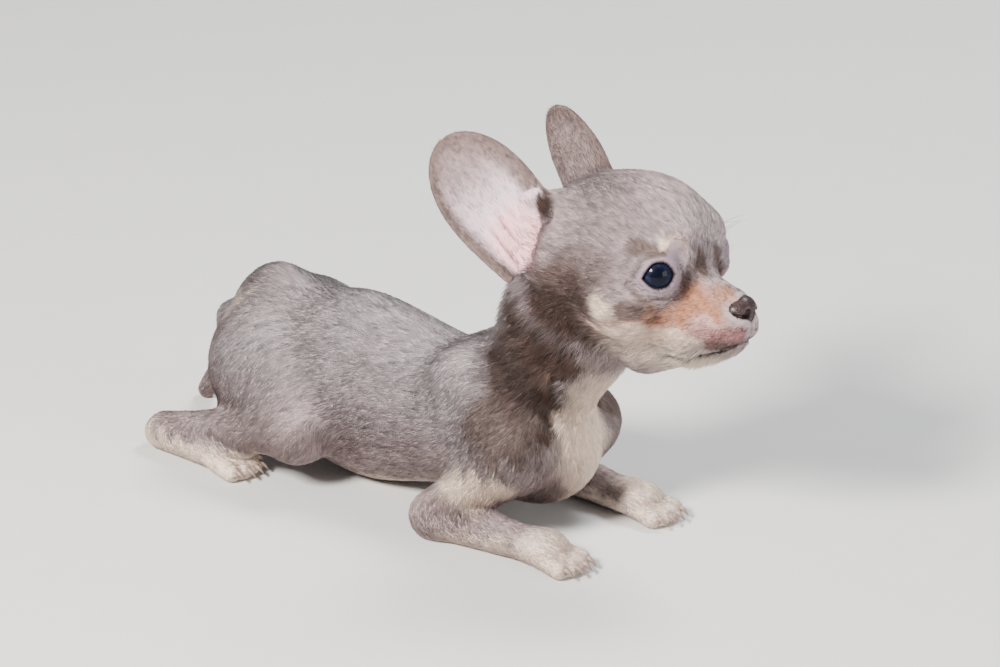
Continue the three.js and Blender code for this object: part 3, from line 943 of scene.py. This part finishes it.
def nose_look(tints):
    look = Look("nose_leather", Roughness=0.34, IOR=1.45, Coat_Weight=0.25, Coat_Roughness=0.3)
    vector = look.place()
    to_edge = dict(feature="DISTANCE_TO_EDGE")
    cells = look.node("TexVoronoi", to_edge, dict(Vector=vector, Scale=1500.0))
    pebbles = look.between(cells, 0.0, 0.25)
    patches = look.noise(vector, 350.0, 3.0)
    shown = look.mix(look.between(patches, 0.35, 0.7), colour(tints.nose), colour(tints.nose_light))
    # Painted shade in the grooves between the pebbles
    shown = look.mix(look.between(cells, 0.0, 0.12, 0.5, 0.0), shown, colour(tints.pupil))
    relief = look.bump(pebbles, 0.5, 0.00018)
    look.feed(Base_Color=shown, Normal=relief, Roughness=0.5 - pebbles * 0.2)
    return look.material


def claw_look(tints):
    look = Look("claw_horn", Roughness=0.35, IOR=1.5)
    vector = look.place()
    bands = look.noise(look.stretched(vector, (0.3, 1, 1)), 1800.0, 3.0)
    shown = look.mix(look.mark("along"), colour(tints.claw), colour(tints.claw_tip))
    shown = look.mix(look.between(bands, 0.4, 0.7, 0.0, 0.3), shown, colour(tints.umber))
    look.feed(Base_Color=shown, Normal=look.bump(bands, 0.3, 0.0001))
    return look.material


def whisker_look(tints):
    look = Look("whiskers", Roughness=0.4, IOR=1.5)
    shown = look.mix(look.mark("along"), colour(tints.whisker), colour(tints.umber))
    look.feed(Base_Color=shown)
    return look.material


def floor_look(tints):
    look = Look("pale_floor", Roughness=0.9)
    vector = look.place()
    grain = look.noise(vector, 60.0, 4.0)
    darker = colour([value * 0.985 for value in tints.floor])
    shown = look.mix(look.between(grain, 0.3, 0.7), colour(tints.floor), darker)
    look.feed(Base_Color=shown)
    return look.material


# Objects
def made_object(name, points, faces, material, ride=True, smoothed=True):
    """A mesh object from points in millimetres."""
    mesh = bpy.data.meshes.new(name)
    mesh.vertices.add(len(points))
    mesh.vertices.foreach_set("co", ((points + SHIFT) * MM).astype(np.float32).ravel())
    faces = np.asarray(faces, np.int32)
    mesh.loops.add(faces.size)
    mesh.loops.foreach_set("vertex_index", faces.ravel())
    mesh.polygons.add(len(faces))
    mesh.polygons.foreach_set("loop_start", np.arange(0, faces.size, faces.shape[1], dtype=np.int32))
    mesh.update(calc_edges=True)
    mesh.polygons.foreach_set("use_smooth", np.full(len(faces), smoothed))
    mesh.materials.append(material)
    thing = bpy.data.objects.new(name, mesh)
    bpy.context.scene.collection.objects.link(thing)
    if ride:
        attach(thing, "root")
    return thing


def add_marks(thing, marks, domain="POINT"):
    for name, values in marks.items():
        if values.ndim == 1:
            made = thing.data.attributes.new(name, "FLOAT", domain)
            made.data.foreach_set("value", values.astype(np.float32))
        else:
            made = thing.data.attributes.new(name, "FLOAT_VECTOR", domain)
            made.data.foreach_set("vector", values.astype(np.float32).ravel())


FLESH = ["head", "lower_jaw", "neck", "torso", "tail", "ear_left", "ear_right"]
FLESH += [
    f"{node}_{side}"
    for side in SIDES
    for node in ("shoulder", "forearm", "forepaw", "thigh", "shank", "hindpaw")
]
SKIN_BOX = ([-146, -44, -3], [102, 46, 144])
BUILT = {}


def skin_mesh(sizes):
    """The skin's points and triangles, finest round the eyes, mouth and nose."""
    points, faces = net_of(lambda p: skin_field(p, detail=False), *SKIN_BOX, sizes.skin_step)
    points, faces = largest_piece(points, faces)
    points = settled(skin_field, points, 2)
    for finer in (fine_areas, finest_areas):
        points = relaxed(points, faces, 0.4)
        chosen = finer(points[faces].mean(1))
        points, faces = refined(points, faces, chosen)
        points = settled(skin_field, points, 2)
    points = settled(skin_field, relaxed(points, faces, 0.3), 3)
    return points, faces


def fine_areas(points):
    head = into_head(points)
    on_head = (joined(HEAD, head) < 4) & (head[:, 0] > -24)
    ears = ear_distance(folded(head)) < 3
    low = (points[:, 2] < 14) & (np.abs(points[:, 1]) > 17)
    paws = low & ((points[:, 0] > 30) | (points[:, 0] < -60))
    return on_head | ears | paws


def finest_areas(points):
    head = into_head(points)
    face = folded(head)
    across, up, out = eye_places(face)
    eyes = (np.hypot(across, up) < 11) & (out > 0)
    mouth, _ = away_from_line(face[:, 0], face[:, 2], MOUTH)
    lips = (mouth < 2.2) & (face[:, 0] > 19) & (joined(HEAD, head) < 3)
    nose = joined(NOSE, head) < 4
    place = ear_places(face)
    ear = (ear_distance(face) < 2) & (place["edge"] > 0.85)
    return eyes | lips | nose | ear


class PUPPY_OT_skin(bpy.types.Operator):
    """Lay one skin over the body, inside the solids by the coat's depth"""

    bl_idname = "puppy.skin"
    bl_label = "Skin"

    def execute(self, context):
        points, faces = skin_mesh(context.scene.puppy_sizes)
        BUILT["skin"] = (points, faces)
        skin = made_object("skin", points, faces, skin_look(context.scene.puppy_tints))
        add_marks(skin, marks_of(places_of(points)))
        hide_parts(*FLESH)
        return {"FINISHED"}


# The coat
HAIR_LENGTHS = {"trunk": 3.6, "neck": 7.4, "head": 3.0, "ear": 1.6, "tail": 4.4}
for leg_name in LEGS:
    HAIR_LENGTHS[leg_name] = 3.5


def weights_of(gaps, reach=5.0):
    names = list(gaps)
    lowest = np.min([gaps[name] for name in names], axis=0)
    weights = {name: np.exp(-(gaps[name] - lowest) / reach) for name in names}
    total = sum(weights.values())
    return {name: weight / total for name, weight in weights.items()}


def hair_lengths(place):
    weights = weights_of(place["gaps"])
    length = sum(HAIR_LENGTHS[name] * weight for name, weight in weights.items())
    face, points = place["face"], place["points"]
    on_head = weights["head"]
    muzzle = smooth(face[:, 0], 16, 34) * on_head
    length = length * (1 - 0.62 * muzzle)
    near_eye = (1 - smooth(place["lid"], 2, 9)) * smooth(place["out"], 0, 4) * on_head
    length = length * (1 - 0.5 * near_eye)
    low = 1 - smooth(points[:, 2], 5, 22)
    return length * (1 - 0.45 * low) * (1 + 2.4 * chin_of(face) * on_head)


def chin_of(face):
    return smooth(-face[:, 2], 23, 28) * smooth(face[:, 0], 24, 32)


NOSE_MIDDLE = [44, 0, -14]


def lies_of(place, normals):
    """The way each hair lies along the skin."""
    points, head = place["points"], place["head"]
    total = np.zeros_like(points)
    for shape in BODY:
        gap = np.linalg.norm(points - shape.centre, axis=1)
        near = gap < shape.reach + MARGIN
        weight = np.exp(-np.maximum(shape.distance(points[near]), -4) / 4)
        total[near] += weight[:, None] * shape.lie
    total = unit(total)
    from_nose = head - np.array(NOSE_MIDDLE)
    from_nose[:, 0] -= 6
    from_nose[:, 2] -= 6 * smooth(-head[:, 2], 0, 20)
    on_head = np.exp(-np.maximum(place["gaps"]["head"], 0) / 5)[:, None]
    rest = np.min([gap for name, gap in place["gaps"].items() if name not in ("head", "ear")], axis=0)
    off_head = np.exp(-np.maximum(rest, 0) / 5)[:, None]
    total = total * off_head + unit(from_nose) @ HEAD_AXES.T * on_head
    side = np.where(head[:, 1] < 0, -1.0, 1.0)[:, None]
    ear_up = EAR_UP * np.concatenate([np.ones_like(side), side, np.ones_like(side)], 1)
    on_ear = (1 - smooth(place["gaps"]["ear"], 0.5, 3.0))[:, None]
    total = total * (1 - on_ear) + ear_up @ HEAD_AXES.T * on_ear
    flat = total - (total * normals).sum(1, keepdims=True) * normals
    return unit(flat + 1e-4 * np.cross(normals, [0.3, 0.2, 0.9]))


def scattered(points, faces, density_of, random):
    """Random places on the skin, as dense as density_of says."""
    corners = points[faces]
    area = np.linalg.norm(np.cross(corners[:, 1] - corners[:, 0], corners[:, 2] - corners[:, 0]), axis=1) / 2
    wanted = area * density_of(corners.mean(1))
    count = np.floor(wanted + random.random(len(faces))).astype(int)
    triangle = np.repeat(np.arange(len(faces)), count)
    a, b = random.random((2, len(triangle)))
    over = a + b > 1
    a, b = np.where(over, 1 - a, a), np.where(over, 1 - b, b)
    c = corners[triangle]
    return c[:, 0] + a[:, None] * (c[:, 1] - c[:, 0]) + b[:, None] * (c[:, 2] - c[:, 0])


RUMP_START = -38


def piece_names(place):
    """Which coat piece each tuft belongs to."""
    gaps, points, head = place["gaps"], place["points"], place["head"]
    names = list(gaps)
    nearest = np.argmin([gaps[name] for name in names], axis=0)
    label = np.array(names, dtype=object)[nearest]
    label[gaps["ear"] < 1.0] = "ear"
    found = label.copy()
    for name in ("trunk", "neck", "head", "ear"):
        chosen = label == name
        on_right = head[:, 1] < 0 if name in ("head", "ear") else points[:, 1] < 0
        sides = np.where(on_right, "right", "left")
        found[chosen] = np.char.add(f"{name}_", sides[chosen].astype(str))
    back = (label == "trunk") & (points[:, 0] < RUMP_START)
    found[back] = np.char.replace(found[back].astype(str), "trunk", "rump")
    return found


# Line through the middle of each coat piece, which its places are unwrapped about
SPINES = {
    "trunk": ([45, 0, 32], [-42, 0, 32]),
    "rump": ([-36, 0, 34], [-112, 0, 38]),
    "neck": ([20, 1, 52], [44, 2, 96]),
    "tail": (TAIL_PATH[0], TAIL_PATH[3]),
    "foreleg": ([-8, 22, 30], [58, 26, 4]),
    "hindleg": ([-62, 26, 30], [-126, 28, 8]),
}


HEAD_MIDDLE = [2, 0, -6]


def unwrapped(name, place):
    """A place in the unit square for each root, on the piece's own unwrapped shape."""
    if name.startswith("ear"):
        ear = place["ear"]
        inner = ear["height"] > 0
        across = np.clip(ear["sweep"] * 0.23 + 0.25, 0.01, 0.49)
        return np.stack([across + 0.5 * inner, np.clip(ear["share"] * 0.9 + 0.08, 0.01, 0.99)], 1)
    if name.startswith("head"):
        ray = unit(place["head"] - np.array(HEAD_MIDDLE))
        down = np.abs(ray[:, 1])
        reach = np.sqrt(np.maximum(1 - down, 0)) / np.maximum(np.hypot(ray[:, 0], ray[:, 2]), 1e-6)
        return np.stack([ray[:, 0] * reach, ray[:, 2] * reach], 1) * 0.48 + 0.5
    kind = name.split("_")[0]
    side = -1 if name.endswith("right") else 1
    start, end = (mirrored(p, side if "leg" in kind else 1) for p in SPINES[kind])
    along = unit(end - start)
    q = place["points"] - start
    share = q @ along / np.linalg.norm(end - start)
    level = unit(np.cross(along, [0, 0, 1]))
    turn = np.arctan2(q @ level, q @ np.cross(level, along))
    if kind in ("trunk", "rump", "neck"):
        turn = (np.abs(turn) / math.pi) * 2 - 1
        return np.stack([np.clip(share * 0.9 + 0.05, 0.005, 0.995), turn * 0.49 + 0.5], 1)
    return np.stack([np.clip(share * 0.9 + 0.05, 0.005, 0.995), turn / math.pi * 0.49 + 0.5], 1)


# A tuft's four corners on the unwrapped shape lie round its root, this far off
UV_PATCH = 0.0015


def coat_piece(name, chosen, coat, material):
    """One mesh of tufts, each a thin three-sided spike that tapers to its tip."""
    keys = ("roots", "tips", "across", "rise", "width")
    roots, tips, across, rise, width = (coat[key][chosen] for key in keys)
    n = len(roots)
    w = width[:, None]
    corners = np.stack([
        roots + across * w / 2 - rise * 0.15,
        roots - across * w / 2 - rise * 0.15,
        roots + rise * w * 0.6,
        tips,
    ], 1)
    base = np.arange(n)[:, None] * 4
    faces = np.concatenate([base + [0, 2, 3], base + [2, 1, 3], base + [1, 0, 3]])
    thing = made_object(name, corners.reshape(-1, 3), faces, material)
    marks = {key: np.repeat(values[chosen], 4, axis=0) for key, values in coat["marks"].items()}
    marks["along"] = np.tile([0.0, 0.0, 0.15, 1.0], n)
    marks["root"] = np.repeat((roots + SHIFT) * MM, 4, axis=0)
    add_marks(thing, marks)
    centre = coat["uv"][chosen]
    offsets = np.array([[-1, -1], [1, -1], [0, -0.6], [0, 1]]) * UV_PATCH
    spots = np.clip(centre[:, None] + offsets, 0, 1).reshape(-1, 2)
    layer = thing.data.uv_layers.new(name="OFBake")
    layer.data.foreach_set("uv", spots[faces.ravel()].astype(np.float32).ravel())
    return thing


def coat_densities(sizes):
    """A function that gives the tufts on a square millimetre at each place."""
    def density(points):
        head = into_head(points)
        on_head = 1 - smooth(joined(HEAD, head), 2, 8)
        paws = 1 - smooth(points[:, 2], 4, 12)
        return sizes.coat_density * (1 + 0.55 * on_head + 0.2 * paws)
    return density


def grown_coat(sizes):
    """Roots, tips and colours of every tuft."""
    random = np.random.default_rng(sizes.seed)
    points, faces = BUILT["skin"]
    roots = scattered(points, faces, coat_densities(sizes), random)
    place = places_of(roots)
    marks = marks_of(place)
    keep = coat_kept(place, marks, random)
    roots = roots[keep]
    place = places_of(roots)
    marks = {name: values[keep] for name, values in marks.items()}
    on_neck = weights_of(place["gaps"])["neck"] * (1 - marks["cream"])
    clump, clump_draw = clumps_of(roots, 0.11 - 0.07 * on_neck, random)
    normals = unit(slope_of(skin_field, roots))
    lie = lies_of(place, normals)
    side = np.cross(normals, lie)
    swirl = 0.12 * wave_noise(roots, 10, 5) + 0.10 * wave_noise(roots, 3, 6)
    swirl = swirl + random.normal(0, 0.12, len(roots))
    swirl = swirl * (1 + 1.2 * on_neck) + clump_draw[:, 0] * (0.08 + 0.3 * on_neck)
    way = lie * np.cos(swirl)[:, None] + side * np.sin(swirl)[:, None]
    length = hair_lengths(place) * random.uniform(0.7, 1.15, len(roots)) * sizes.coat_length
    raised = 0.11 + 0.12 * on_neck + 0.3 * chin_of(place["face"])
    stand = raised * length * random.uniform(0.5, 1.6, len(roots))
    stand = stand * (1 + clump_draw[:, 1] * (0.25 + 0.6 * on_neck))
    stand = np.maximum(stand, 0.1)
    together = (0.22 + 0.4 * on_neck)[:, None]
    tips = roots + way * length[:, None] + normals * stand[:, None] + (clump - roots) * together
    for _ in range(2):
        gap = skin_field(tips)
        tips = tips + normals * (np.clip(stand - gap, -2.5, 2.5) * 0.8)[:, None]
    tips[:, 2] = np.maximum(tips[:, 2], FLOOR_CLEAR)
    way = unit(tips - roots)
    across = unit(np.cross(way, normals))
    width = sizes.tuft_width * (0.55 + 0.45 * length / 5) * random.uniform(0.7, 1.3, len(roots))
    tone = (random.uniform(-0.7, 0.7, len(roots)) + clump_draw[:, 1]) * (0.7 + 0.3 * on_neck)
    marks["tone"] = tone
    shape = dict(roots=roots, tips=tips, across=across, rise=normals, width=width)
    return dict(shape, marks=marks, place=place)


def clumps_of(roots, chance, random):
    """The root that each tuft leans towards, and two random numbers that a clump shares."""
    centres = np.flatnonzero(random.random(len(roots)) < chance)
    tree = KDTree(len(centres))
    for index, point in enumerate(roots[centres]):
        tree.insert(point, index)
    tree.balance()
    nearest = np.array([tree.find(point)[1] for point in roots])
    draw = random.uniform(-1, 1, (len(centres), 2))
    return roots[centres][nearest], draw[nearest]


def coat_kept(place, marks, random):
    """Which tufts stay: none on the lid edges, few on bare skin."""
    chance = 1 - 0.88 * marks["bare"]
    chance = np.where((place["lid"] < 1.0) & (place["out"] > 3), 0, chance)
    chance = np.where(joined(NOSE, place["head"]) < 1.1, 0, chance)
    chance = np.where(place["points"][:, 2] < 0.5, 0, chance)
    return random.random(len(chance)) < chance


class PUPPY_OT_coat(bpy.types.Operator):
    """Grow the short coat in tufts along the lie of the hair"""

    bl_idname = "puppy.coat"
    bl_label = "Coat"

    def execute(self, context):
        coat = grown_coat(context.scene.puppy_sizes)
        material = coat_look(context.scene.puppy_tints)
        names = piece_names(coat["place"])
        coat["uv"] = np.zeros((len(names), 2))
        for name in sorted(set(names)):
            chosen = names == name
            place = coat["place"]
            part = dict(
                points=place["points"][chosen],
                head=place["head"][chosen],
                ear={key: values[chosen] for key, values in place["ear"].items()},
            )
            coat["uv"][chosen] = unwrapped(name, part)
            thing = coat_piece(f"coat_{name}", chosen, coat, material)
        return {"FINISHED"}


# Eyes
EYE_RINGS, EYE_SPOKES = 48, 64
CORNEA_HALF = math.radians(38)
CORNEA_RISE = 0.35


class PUPPY_OT_eyes(bpy.types.Operator):
    """Set a smooth eyeball with a raised cornea in each socket"""

    bl_idname = "puppy.eyes"
    bl_label = "Eyes"

    def execute(self, context):
        material = eye_look(context.scene.puppy_tints)
        angle = np.linspace(0, math.pi, EYE_RINGS + 1)[1:-1]
        turn = np.linspace(0, 2 * math.pi, EYE_SPOKES, endpoint=False)
        ring, spoke = np.meshgrid(angle, turn, indexing="ij")
        rise = EYE_RADIUS + CORNEA_RISE * (1 - smooth(ring, 0, CORNEA_HALF * 1.25))
        local = np.stack([np.sin(ring) * np.cos(spoke), np.sin(ring) * np.sin(spoke), np.cos(ring)], -1)
        local = (local * rise[..., None]).reshape(-1, 3)
        local = np.concatenate([local, [[0, 0, EYE_RADIUS + CORNEA_RISE], [0, 0, -EYE_RADIUS]]])
        faces = ring_faces(EYE_RINGS - 1, EYE_SPOKES)
        for name, side in SIDES.items():
            points = out_of_head(local @ eye_frame(side) + mirrored(EYE_PLACE, side))
            eye = made_object(f"eyeball_{name}", points, faces, material)
            add_marks(eye, dict(gaze=unit(local)[:, 2]))
            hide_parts(f"eye_{name}")
        return {"FINISHED"}


def ring_faces(rings, spokes):
    """Triangles of a closed ball of rings, with one corner at each end."""
    faces = []
    for r in range(rings - 1):
        for s in range(spokes):
            t = (s + 1) % spokes
            a, b = r * spokes + s, r * spokes + t
            c, d = b + spokes, a + spokes
            faces += [(a, d, c), (a, c, b)]
    top, bottom = rings * spokes, rings * spokes + 1
    for s in range(spokes):
        t = (s + 1) % spokes
        faces += [(top, s, t), (bottom, (rings - 1) * spokes + t, (rings - 1) * spokes + s)]
    return np.array(faces)


NOSE_BOX = ([34, -9, -21], [50, 9, -4])
NOSE_STEP = 0.34


class PUPPY_OT_nose(bpy.types.Operator):
    """Shape the nose leather with its nostrils"""

    bl_idname = "puppy.nose"
    bl_label = "Nose"

    def execute(self, context):
        points, faces = net_of(nose_field, *NOSE_BOX, NOSE_STEP)
        points, faces = largest_piece(points, faces)
        points = settled(nose_field, relaxed(points, faces, 0.5), 3)
        points = settled(nose_field, relaxed(points, faces, 0.3), 2)
        nose = made_object("nose_leather", out_of_head(points), faces, nose_look(context.scene.puppy_tints))
        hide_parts("nose")
        return {"FINISHED"}


# Claws, whiskers and lashes are all tapered tubes
def tube(path, radii, spokes):
    """Points, triangles and share of the way along, for a tapered tube closed at both ends."""
    path = np.asarray(path, float)
    along = unit(np.gradient(path, axis=0))
    side = unit(np.cross(along, [0.31, 0.17, 0.94]))
    up = np.cross(side, along)
    turn = np.linspace(0, 2 * math.pi, spokes, endpoint=False)
    rings = side[:, None] * np.cos(turn)[None, :, None] + up[:, None] * np.sin(turn)[None, :, None]
    points = (path[:, None] + rings * np.asarray(radii)[:, None, None]).reshape(-1, 3)
    points = np.concatenate([points, path[:1], path[-1:]])
    share = np.concatenate([np.repeat(np.linspace(0, 1, len(path)), spokes), [0, 1]])
    return points, ring_faces(len(path), spokes)[:, ::-1], share


def made_tubes(name, tubes, material):
    points, faces, along, count = [], [], [], 0
    for part, corners, share in tubes:
        points.append(part)
        faces.append(corners + count)
        along.append(share)
        count += len(part)
    thing = made_object(name, np.concatenate(points), np.concatenate(faces), material)
    add_marks(thing, dict(along=np.concatenate(along)))
    return thing


CLAW_LENGTH, CLAW_RADIUS, CLAW_RINGS, CLAW_SPOKES = 4.6, 0.85, 9, 10


class PUPPY_OT_claws(bpy.types.Operator):
    """Set a curved claw at the end of each toe"""

    bl_idname = "puppy.claws"
    bl_label = "Claws"

    def execute(self, context):
        tubes = []
        for side in SIDES.values():
            for root in (FORE_TOES, HIND_TOES):
                for _, end in toe_places(mirrored(root, side)):
                    t = np.linspace(0, 1, CLAW_RINGS)
                    path = end + np.stack([
                        TOE_RADIUS - 1.2 + CLAW_LENGTH * 0.86 * t,
                        0 * t,
                        0.9 + 0.4 * t - 2.3 * t * t,
                    ], 1)
                    tubes.append(tube(path, CLAW_RADIUS * (1 - t**2.2 * 0.88), CLAW_SPOKES))
        claws = made_tubes("claws", tubes, claw_look(context.scene.puppy_tints))
        return {"FINISHED"}


# Whiskers on the pads and then on the brow, in the head's frame: place, way and length
WHISKERS = [
    (
        [38 - 2.6 * row, 6.4 + 0.35 * row, -15.5 - 1.7 * line],
        [-0.42, 0.86, -0.08 - 0.16 * line],
        8.5 + 1.2 * row,
    )
    for row in range(4)
    for line in range(3)
]
WHISKERS += [
    ([23 + n, 14.5 - 0.9 * n, 10 - 0.5 * n], [0.75 - 0.1 * n, 0.3, 0.25 + 0.12 * n], 8.5)
    for n in range(5)
]
WHISKER_RADIUS, LASH_RADIUS = 0.07, 0.055
HAIR_RINGS, HAIR_SPOKES = 8, 4
LASHES = 13


def on_skin(point):
    """The nearest place on the skin to a point in the head's frame."""
    return settled(skin_field, out_of_head(np.array([point], float)), 4)[0]


def hair_path(start, way, length, bow):
    t = np.linspace(0, 1, HAIR_RINGS)[:, None]
    return start - way * 0.6 + way * length * t + np.asarray(bow) * t * t * length


class PUPPY_OT_whiskers(bpy.types.Operator):
    """Set the whiskers, brow hairs and lashes"""

    bl_idname = "puppy.whiskers"
    bl_label = "Whiskers and lashes"

    def execute(self, context):
        random = np.random.default_rng(context.scene.puppy_sizes.seed + 1)
        tubes = []
        taper = np.linspace(1, 0.15, HAIR_RINGS)
        for side in SIDES.values():
            for spot, way, length in WHISKERS:
                start = on_skin(mirrored(np.array(spot) + random.normal(0, 0.35, 3), side))
                way = unit(mirrored(np.array(way) + random.normal(0, 0.1, 3), side)) @ HEAD_AXES.T
                path = hair_path(start, way, length * random.uniform(0.8, 1.15), [0, 0, -0.16])
                tubes.append(tube(path, WHISKER_RADIUS * taper, HAIR_SPOKES))
            tubes += lash_tubes(side, random)
        made_whiskers = made_tubes("whiskers", tubes, whisker_look(context.scene.puppy_tints))
        return {"FINISHED"}


def lash_tubes(side, random):
    frame_rows = eye_frame(side)
    c, s = math.cos(EYE_SLANT), math.sin(EYE_SLANT) * side
    taper = np.linspace(1, 0.2, HAIR_RINGS)
    made = []
    for n in range(LASHES):
        a = (n / (LASHES - 1) * 2 - 1) * 0.86
        across = a * EYE_OPENING[0]
        up = 1.04 * EYE_OPENING[1] * (1 - a * a) + 0.3
        u, w = across * c + up * s, -across * s + up * c
        out = math.sqrt(max((EYE_RADIUS + 1.0) ** 2 - u * u - w * w, 1))
        start = out_of_head(mirrored(EYE_PLACE, side) + np.array([u, w, out]) @ frame_rows)
        way = unit(np.array([a * 0.5 + random.normal(0, 0.08), 0.35, 0.9]) @ frame_rows) @ HEAD_AXES.T
        path = hair_path(start, way, random.uniform(2.0, 2.9), [0, 0, 0.25])
        made.append(tube(path, LASH_RADIUS * taper, HAIR_SPOKES))
    return made


# Stage
CAMERA_TARGET = np.array([0.0, 0.0, 62.3])
CAMERA_TURN, CAMERA_RISE, CAMERA_DISTANCE = math.radians(38), math.radians(22), 1500.0
CAMERA_LENS = 167.4


def towards(turn, rise):
    return Vector((math.sin(turn) * math.cos(rise), -math.cos(turn) * math.cos(rise), math.sin(rise)))


# Lights: name, turn and rise in degrees, distance and size in metres, power and colour
LIGHTS = [
    ("key", -2, 38, 1.3, 0.28, 42, (1.0, 0.965, 0.925)),
    ("fill", 92, 14, 1.6, 0.8, 13, (1.0, 0.965, 0.94)),
    ("back", 170, 60, 1.5, 0.5, 22, (0.95, 0.97, 1.0)),
]
LIGHTS_AIM = (0.02, 0, 0.06)
SKY_STRENGTH = 0.3
FLOOR_HALF = 6 / MM


def area_light(name, turn, rise, distance, size, power, light_colour):
    light = bpy.data.lights.new(name, "AREA")
    light.size = size
    light.energy = power
    light.color = light_colour
    thing = bpy.data.objects.new(name, light)
    way = towards(math.radians(turn), math.radians(rise))
    thing.location = Vector(LIGHTS_AIM) + way * distance
    thing.rotation_euler = way.to_track_quat("Z", "Y").to_euler()
    bpy.context.scene.collection.objects.link(thing)


class PUPPY_OT_stage(bpy.types.Operator):
    """Set the camera, a plain pale floor and soft studio light"""

    bl_idname = "puppy.stage"
    bl_label = "Camera, floor and lights"

    def execute(self, context):
        scene = context.scene
        camera = bpy.data.cameras.new("camera")
        camera.lens = CAMERA_LENS
        camera.clip_start, camera.clip_end = 0.05, 50
        thing = bpy.data.objects.new("camera", camera)
        way = towards(CAMERA_TURN, CAMERA_RISE)
        thing.location = Vector((CAMERA_TARGET + SHIFT) * MM) + way * CAMERA_DISTANCE * MM
        thing.rotation_euler = way.to_track_quat("Z", "Y").to_euler()
        scene.collection.objects.link(thing)
        scene.camera = thing
        tints = scene.puppy_tints
        corners = np.array([[-1, -1, 0], [1, -1, 0], [1, 1, 0], [-1, 1, 0]]) * FLOOR_HALF
        looks = floor_look(tints)
        floor = made_object("floor", corners, [[0, 1, 2, 3]], looks, ride=False, smoothed=False)
        world = bpy.data.worlds.new("studio")
        world.use_nodes = True
        background = world.node_tree.nodes["Background"]
        background.inputs["Color"].default_value = colour(tints.sky)
        background.inputs["Strength"].default_value = SKY_STRENGTH
        scene.world = world
        for light in LIGHTS:
            area_light(*light)
        return {"FINISHED"}


# Settings, panel and registration
def measure(name, description, default):
    return FloatProperty(name=name, description=description, default=default)


def tint(name, description, default):
    limits = dict(min=0, max=1)
    return FloatVectorProperty(
        name=name, description=description, subtype="COLOR", default=default, **limits
    )


class PuppySizes(bpy.types.PropertyGroup):
    skin_step: measure("Skin fineness", "Widest mesh of the skin, in mm", 1.3)
    coat_density: measure("Coat density", "Tufts on a square millimetre", 7.6)
    coat_length: measure("Coat length", "Share of the coat's usual length", 1.0)
    tuft_width: measure("Tuft width", "Width of a tuft at its root, in mm", 0.26)
    seed: IntProperty(name="Seed", description="Picks the random draw", default=7)


class PuppyTints(bpy.types.PropertyGroup):
    lilac: tint("Lilac", "Cool grey-brown of the back", (0.445, 0.395, 0.41))
    lilac_warm: tint("Warm lilac", "Warmer grey-brown of the head and low flanks", (0.44, 0.31, 0.295))
    # Umber is the dark brown of the neck, claw bands and whisker roots, and also the colour of all the
    # painted shade
    umber: tint("Umber", "Darker brown of the neck and folds", (0.105, 0.06, 0.044))
    cream: tint("Cream", "Pale points", (1.0, 0.82, 0.69))
    tan: tint("Tan", "Points on the muzzle", (0.47, 0.215, 0.13))
    pink: tint("Pink", "Thinly haired skin", (0.80, 0.63, 0.71))
    blush: tint("Blush", "Skin deep in the ear", (1.0, 0.60, 0.63))
    lavender: tint("Lavender", "Skin of the lids", (0.21, 0.155, 0.20))
    rose: tint("Rose", "Skin of the lips", (0.30, 0.11, 0.10))
    # Lip line is also the near black of the painted shade in the ear's pocket
    lip_line: tint("Lip line", "Edge of the lids and lips", (0.02, 0.010, 0.010))
    iris: tint("Iris", "Slate blue of the iris", (0.014, 0.018, 0.044))
    iris_deep: tint("Deep iris", "Darkest blue of the iris", (0.007, 0.009, 0.022))
    pupil: tint("Pupil", "Blue-black of the pupil", (0.002, 0.003, 0.009))
    eye_rim: tint("Eye rim", "Dark rim of the eyeball", (0.008, 0.006, 0.009))
    nose: tint("Nose", "Dark maroon of the nose", (0.016, 0.0035, 0.0035))
    nose_light: tint("Light nose", "Lighter maroon of the nose", (0.04, 0.009, 0.008))
    claw: tint("Claw", "Horn at the claw's root", (0.40, 0.29, 0.24))
    claw_tip: tint("Claw tip", "Horn at the claw's tip", (0.16, 0.11, 0.10))
    whisker: tint("Whisker", "Dark of the whiskers and lashes", (0.03, 0.022, 0.02))
    floor: tint("Floor", "Plain pale floor", (0.74, 0.73, 0.71))
    sky: tint("Sky", "Soft light from all round", (0.90, 0.95, 1.0))


PIECES = (
    PUPPY_OT_stage, PUPPY_OT_skin, PUPPY_OT_eyes, PUPPY_OT_nose, PUPPY_OT_claws, PUPPY_OT_coat,
    PUPPY_OT_whiskers,
)


class PUPPY_PT_panel(bpy.types.Panel):
    """Settings and pieces of the puppy"""

    bl_idname = "PUPPY_PT_panel"
    bl_label = "Chihuahua puppy"
    bl_space_type = "VIEW_3D"
    bl_region_type = "UI"
    bl_category = "Puppy"

    def draw(self, context):
        for settings in (context.scene.puppy_sizes, context.scene.puppy_tints):
            for name in settings.__annotations__:
                self.layout.prop(settings, name)
        for piece in PIECES:
            self.layout.operator(piece.bl_idname)


CLASSES = (PuppySizes, PuppyTints, *PIECES, PUPPY_PT_panel)


def register():
    for made in CLASSES:
        bpy.utils.register_class(made)
    bpy.types.Scene.puppy_sizes = PointerProperty(type=PuppySizes)
    bpy.types.Scene.puppy_tints = PointerProperty(type=PuppyTints)


def unregister():
    del bpy.types.Scene.puppy_tints
    del bpy.types.Scene.puppy_sizes
    for made in reversed(CLASSES):
        bpy.utils.unregister_class(made)


def main():
    register()
    for piece in PIECES:
        group, name = piece.bl_idname.split(".")
        getattr(getattr(bpy.ops, group), name)()


if __name__ == "__main__":
    main()
